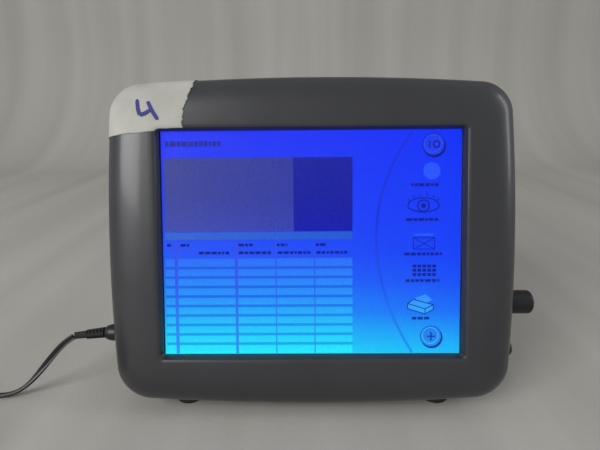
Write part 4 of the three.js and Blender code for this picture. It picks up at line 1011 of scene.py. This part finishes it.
def whole_path(middle):
    """The drooping stretch, the coil and the tail as one smooth line of close points."""
    way_in = smooth_profile(LEAD_ROUTE, 6)
    way_out = smooth_profile(TAIL_ROUTE, 6)
    coil_line = coil_points(middle)
    joined = np.concatenate([way_in[:-2], coil_line[3:-3], way_out[1:]])
    share = np.concatenate([[0], np.cumsum(np.linalg.norm(np.diff(joined, axis=0), axis=1))])
    even = np.linspace(0, share[-1], 900)
    line = np.stack([np.interp(even, share, joined[:, k]) for k in range(3)], -1)
    for _ in range(6):
        line[1:-1] = line[1:-1] * 0.5 + (line[:-2] + line[2:]) * 0.25
    return line


middles = np.linspace(21, 25, 17)
lengths = [path_length(whole_path(m)) for m in middles]
middle = float(np.interp(LEAD_LENGTH * 1000, lengths, middles))
lead_line = whole_path(middle)
print(f"coil of {TURNS} turns at {middle:.2f} mm; the lead is {path_length(lead_line) / 1000:.3f} m")

# %% [markdown]
# The section has two round cores side by side with a groove between them. A closed ring of it is set
# across the path at each point, turned about the path by an angle that eases from upright to flat.

# %% The lead's surface, with a stripe along one core


def flat_section(count=28):
    """Width 2 * cos(a), thickness sin(a) squared off, pinched by a narrow bell at the middle."""
    a = np.linspace(0, 2 * math.pi, count, endpoint=False)
    wide = LEAD_WIDE / 2 * np.cos(a)
    thick = LEAD_THICK / 2 * np.sign(np.sin(a)) * np.abs(np.sin(a)) ** 0.62
    return wide, thick * (1 - 0.3 * np.exp(-((wide / 0.45) ** 2)))


def carried(line, turned):
    """Rings of the section across the path; the flat side lies level where the angle is 0."""
    run = np.gradient(line, axis=0)
    run /= np.linalg.norm(run, axis=1)[:, None]
    level = np.cross(run, [0, 0, 1.0])
    level /= np.linalg.norm(level, axis=1)[:, None]
    up = np.cross(level, run)
    c, s = np.cos(turned)[:, None], np.sin(turned)[:, None]
    across, over = level * c + up * s, up * c - level * s
    wide, thick = flat_section()
    return line[:, None] + across[:, None] * wide[None, :, None] + over[:, None] * thick[None, :, None]


travelled = np.concatenate([[0], np.cumsum(np.linalg.norm(np.diff(lead_line, axis=0), axis=1))])
easing = np.clip(travelled / 62, 0, 1)
turned = math.pi / 2 * (1 - easing * easing * (3 - 2 * easing)) + 0.5 * np.sin(travelled / 13) * (easing < 1) * (1 - easing)
lead_rings = carried(lead_line, turned)
lead = new_mesh("lead", (lambda b: (b[0] / 1000, b[1]))(merged(loft(lead_rings))))
uv = lead.data.uv_layers.new(name="lead_uv")
loops = np.zeros(len(lead.data.loops), int)
lead.data.loops.foreach_get("vertex_index", loops)
columns = lead_rings.shape[1]
rows = np.clip(loops // columns, 0, len(lead_line) - 1)
uv.data.foreach_set("uv", np.stack([travelled[rows] / 1000, (loops % columns) / columns], -1).ravel())

cable = Nodes("lead_cover", Roughness=0.42)
cable.shader.inputs["Coat Weight"].default_value = 0.15
place = cable.node("SeparateXYZ")
mapped = cable.node("UVMap", uv_map="lead_uv")
cable.link(mapped.outputs["UV"], place.inputs["Vector"])
stripe = cable.ramp(place.outputs["Y"], [(0.0, (0, 0, 0)), (0.30, (0, 0, 0)), (0.31, (1, 1, 1)), (0.37, (1, 1,
    1)),
                                         (0.38, (0, 0, 0))])
tone = cable.ramp(cable.noise(120), [(0.3, srgb(18, 18, 20)), (0.7, srgb(27, 27, 29))])
striped = cable.node("Mix", data_type="RGBA")
cable.link(stripe, striped.inputs["Factor"])
cable.link(tone, striped.inputs["A"])
striped.inputs["B"].default_value = (*srgb(118, 118, 120), 1)
cable.set("Base Color", striped.outputs["Result"])
cable.bump(cable.noise(900, 2), 0.1, 0.0001)
finish_piece(lead, "console", cable.material, ["cord_run", "cord_coil", "cord_tail"], 60, False)

# %% [markdown]
# A hook-and-loop tie holds the coil: a flat band that closes round the bundle.

# %% The tie round the bundle


def tie_band(angle):
    """A rounded rectangle in the plane of the bundle's section, swept 9 mm along the ring."""
    t = np.linspace(0, 2 * math.pi, 44, endpoint=False)
    cosine, sine = np.cos(t), np.sin(t)
    half_r, half_z = 6.75, 4.75
    radial = half_r * np.sign(cosine) * np.abs(cosine) ** 0.45
    height = half_z * np.sign(sine) * np.abs(sine) ** 0.45
    skins = []
    for grow in (0.0, 0.7):
        scale_r, scale_z = (half_r + grow) / half_r, (half_z + grow) / half_z
        for along in (-4.5, 4.5) if grow else (4.5, -4.5):
            r = middle + radial * scale_r
            skins.append(np.stack([COIL_X + r * math.cos(angle) - along * math.sin(angle),
                                   COIL_Y + r * math.sin(angle) + along * math.cos(angle),
                                   np.maximum(4.4 + height * scale_z, 0.02 if grow else 0.5)], -1))
    return loft(np.stack([skins[1], skins[0], skins[3], skins[2]]), endless=True)


band = tie_band(math.radians(15))
tie = new_mesh("lead_tie", (lambda b: (b[0] / 1000, b[1]))(merged(band)))
fabric = Nodes("tie_fabric", Roughness=0.95, Sheen_Weight=0.4)
fabric.set("Base Color", fabric.ramp(fabric.noise(900, 2), [(0.35, srgb(20, 20, 22)), (0.7, srgb(42, 42, 44))]))
fabric.bump(fabric.noise(2400, 2), 0.8, 0.0003)
finish_piece(tie, "console", fabric.material, smooth=50)

# %% [markdown]
# ## The wall adapter
# Its two shells are rounded blocks that meet at a seam. Each ring is a rounded rectangle that draws in
# near the closed end as a quarter circle does.

# %% The adapter's shells, boot and label
ADAPTER = np.array([-244.0, -119.0])


def rounded_ring(half_x, half_y, radius, z, steps=9):
    a = np.linspace(0, math.pi / 2, steps)
    parts = [np.stack([sx + radius * np.cos(a + k * math.pi / 2), sy + radius * np.sin(a + k * math.pi / 2)], -1)
             for k, (sx, sy) in enumerate([(half_x - radius, half_y - radius), (radius - half_x, half_y - radius),
                                           (radius - half_x, radius - half_y), (half_x - radius,
                                               radius - half_y)])]
    flat = np.concatenate(parts) + ADAPTER
    return np.insert(flat, 2, z, axis=1)


def adapter_shell(closed_z, open_z, fillet=3.2):
    """Rings from the closed end, where each is smaller by f * (1 - sin t), to the open seam."""
    t = np.linspace(0, math.pi / 2, 9)
    sign = 1 if open_z > closed_z else -1
    inset = fillet * (1 - np.sin(t))
    z = closed_z + sign * fillet * (1 - np.cos(t))
    rings = [rounded_ring(31 - i, 20 - i, max(6 - i, 1.5), v) for i, v in zip(inset, z)]
    rings += [rounded_ring(31, 20, 6, open_z - 0.35 * sign), rounded_ring(30.7, 19.7, 5.7, open_z)]
    return loft(rings)


def flat_piece(name, bodies, material, stands_for=(), smooth=40):
    """A piece written in millimetres on the table, not leaned."""
    points, faces = merged(*bodies)
    return finish_piece(new_mesh(name, (points / 1000, faces)), "console", material, stands_for, smooth)


flat_piece("adapter_shell_base", [adapter_shell(0.0, 9.0)], black_plastic, ["adapter_base"])
flat_piece("adapter_shell_cover", [adapter_shell(28.0, 9.3)], black_plastic, ["adapter_cover"])
boot_x = np.linspace(-214.2, -203.0, 40)
boot_share = np.linspace(0, 1, 40)
boot_r = 3.0 - 0.8 * boot_share - 0.35 * (np.sin(boot_share * 2 * math.pi * 4) > 0.2) * (boot_share > 0.25)
boot_profile = np.concatenate([[(-214.2, 0.05)], np.stack([boot_x, boot_r], -1), [(-203.0, 0.05)]])
flat_piece("adapter_relief", [lathe(boot_profile, -119.0, 6.0, 40)], rubber, ["adapter_boot"])


def prong(side):
    """A flat blade with a rounded tip and eased edges: a stadium ring lofted along z."""
    rings = []
    for z, ease in ((22.6, 0.0), (43.4, 0.0), (44.2, 0.25), (44.7, 0.7), (44.95, 1.3)):
        rings.append(rounded_ring(3.2 - ease, 0.75 - min(ease, 0.35), min(0.3, 0.75 - min(ease, 0.35)), z, 5)
                     + [-14, side * 6.35, 0])
    return loft(rings)


carrier = loft([rounded_ring(6, 11, 1, z, 5) + [-14, 0, 0] for z in (20.7, 25.7)])
flat_piece("adapter_prongs", [prong(-1), prong(1), carrier], steel, ["adapter_blades"])

label_paper = Nodes("label_film", Roughness=0.4, Coat_Weight=0.3)
label_paper.set("Base Color", label_paper.ramp(label_paper.noise(60, 4), [(0.3, srgb(186, 187, 186)),
                                                                          (0.7, srgb(204, 205, 204))]))
label_paper.bump(label_paper.noise(500), 0.05, 0.00005)
rear_ring_flat = rounded_ring(17, 11, 2, 0)[:, :2] - ADAPTER
label = loft([np.insert(rear_ring_flat + [-72, -46], 1, y, axis=1) for y in (REAR + 0.02, REAR + 0.16)])
console_piece("rear_label", [label], label_paper.material)
flat_piece("adapter_label", [loft([rounded_ring(15, 12, 1.5, z) + [12, 0, 0] for z in (28.01, 28.12)])],
           label_paper.material)

# %% [markdown]
# ## Dressing the CAD parts
# The remaining CAD parts keep their shape. Each takes the finish of what it is made of; those that show
# from outside also get their doubles merged and their edges eased by a small bevel.

# %% Finishes for the CAD nodes
FINISHES = {
    steel: ["case_screw_1", "case_screw_2", "case_screw_3", "case_screw_4", "encoder_nut", "stand_pin_left",
            "stand_pin_right", "probe_socket", "pulser_shield", "coin_cell", "button_spring", "dc_plug_barrel",
            "adapter_blades"],
    zinc: ["socket_plate", "display_back_plate", "chassis_plate", "chassis_screw_1", "chassis_screw_2",
           "chassis_screw_3", "chassis_screw_4", "button_nut", "encoder_body"],
    brass: ["encoder_shaft", "board_screw_1", "board_screw_2", "board_screw_3", "board_screw_4"],
    board: ["main_board", "pulser_board", "inverter_board"],
    black_plastic: ["speaker", "button_body", "dc_jack", "footswitch_jack", "printer_port", "probe_lead",
                    "control_knob", "power_button", "dc_plug_body", "adapter_base", "adapter_cover",
                    "cord_run", "cord_coil", "cord_tail"],
    rubber: ["stand_pad_left", "stand_pad_right", "left_foot", "right_foot", "dc_plug_boot", "adapter_boot"],
    foam: ["panel_gasket"],
    ribbon: ["display_ribbon"],
    acrylic: ["light_guide", "backlight_lamp"],
    case_paint: ["front_bezel", "rear_cover", "tilt_stand"],
}
for material, names in FINISHES.items():
    NODE_FINISH.update({name: material for name in names})
EASED = {"tilt_stand": 0.5, "stand_pad_left": 0.5, "stand_pad_right": 0.5, "left_foot": 0.6, "right_foot": 0.6,
         "socket_plate": 0.2, "dc_jack": 0.25, "footswitch_jack": 0.25, "probe_socket": 0.3, "printer_port": 0.25,
         "case_screw_1": 0.3, "case_screw_2": 0.3, "case_screw_3": 0.3, "case_screw_4": 0.3,
         "encoder_nut": 0.15, "button_nut": 0.15}
for node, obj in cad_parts.items():
    obj.data.materials.clear()
    obj.data.materials.append(NODE_FINISH[node])
for node, width in EASED.items():
    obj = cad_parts[node]
    weld = obj.modifiers.new("weld", "WELD")
    weld.merge_threshold = 0.00001
    bevel = obj.modifiers.new("ease", "BEVEL")
    bevel.width, bevel.segments, bevel.limit_method = width / 1000, 2, "ANGLE"
    bevel.angle_limit, bevel.harden_normals = math.radians(40), True
print(len(NODE_FINISH), "CAD nodes dressed,", len(EASED), "with eased edges")

print("lead declared:", LEAD_LENGTH, "m")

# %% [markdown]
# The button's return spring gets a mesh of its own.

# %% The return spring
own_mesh(bpy.data.objects["button_spring"])

# %% [markdown]
# ## Room and light
# The console stands on a pale cloth that runs up behind it. One broad soft lamp stands to the left and
# in front, a weaker one to the right, and the world fills the shadows.

# %% Floor, backdrop and lamps


def sweep():
    """A floor that rises into a wall: flat to the bend, a quarter circle, then straight up."""
    bend = np.linspace(0, math.pi / 2, 16)
    y = np.concatenate([[-1.6, -0.6, 0.0, 0.3], 0.75 + 0.35 * np.sin(bend), [1.1, 1.1]])
    z = np.concatenate([[0, 0, 0, 0], 0.35 * (1 - np.cos(bend)), [1.2, 2.6]])
    x = np.linspace(-2.2, 2.2, 60)
    points = np.stack(np.broadcast_arrays(x[None], y[:, None], z[:, None] - 0.0004), -1)
    return points.reshape(-1, 3), [list(f) for f in grid_faces(len(y), len(x))]


cloth = Nodes("backdrop_cloth", Roughness=0.95)
# A noise that changes quickly across the width draws streaks along the cloth: painted shade of its folds.
cloth.set("Base Color", cloth.ramp(cloth.noise(1, 3, 0.5, cloth.stretched((14, 0.6, 0.6))),
                                    [(0.3, srgb(172, 169, 162)), (0.7, srgb(188, 185, 178))]))
cloth.bump(cloth.noise(500, 2), 0.3, 0.0004)
floor = new_mesh("floor", sweep())
floor.data.shade_smooth()
floor.data.materials.append(cloth.material)


def soft_lamp(name, place, aim, size, power):
    """An area lamp that looks from its place to its aim."""
    data = bpy.data.lights.new(name, "AREA")
    data.shape, data.size, data.size_y, data.energy = "RECTANGLE", *size, power
    lamp = bpy.data.objects.new(name, data)
    scene.collection.objects.link(lamp)
    lamp.location = place
    lamp.rotation_euler = (Vector(aim) - Vector(place)).to_track_quat("-Z", "Y").to_euler()


soft_lamp("left_lamp", (-0.95, -1.05, 0.8), (0, 0, 0.1), (0.8, 0.8), 15)
soft_lamp("right_lamp", (1.3, -0.25, 0.7), (0, 0, 0.1), (0.25, 0.9), 3)
scene.world = scene.world or bpy.data.worlds.new("room")
scene.world.use_nodes = True
background = scene.world.node_tree.nodes["Background"]
background.inputs["Color"].default_value = (0.93, 0.96, 1.0, 1)
background.inputs["Strength"].default_value = 0.45
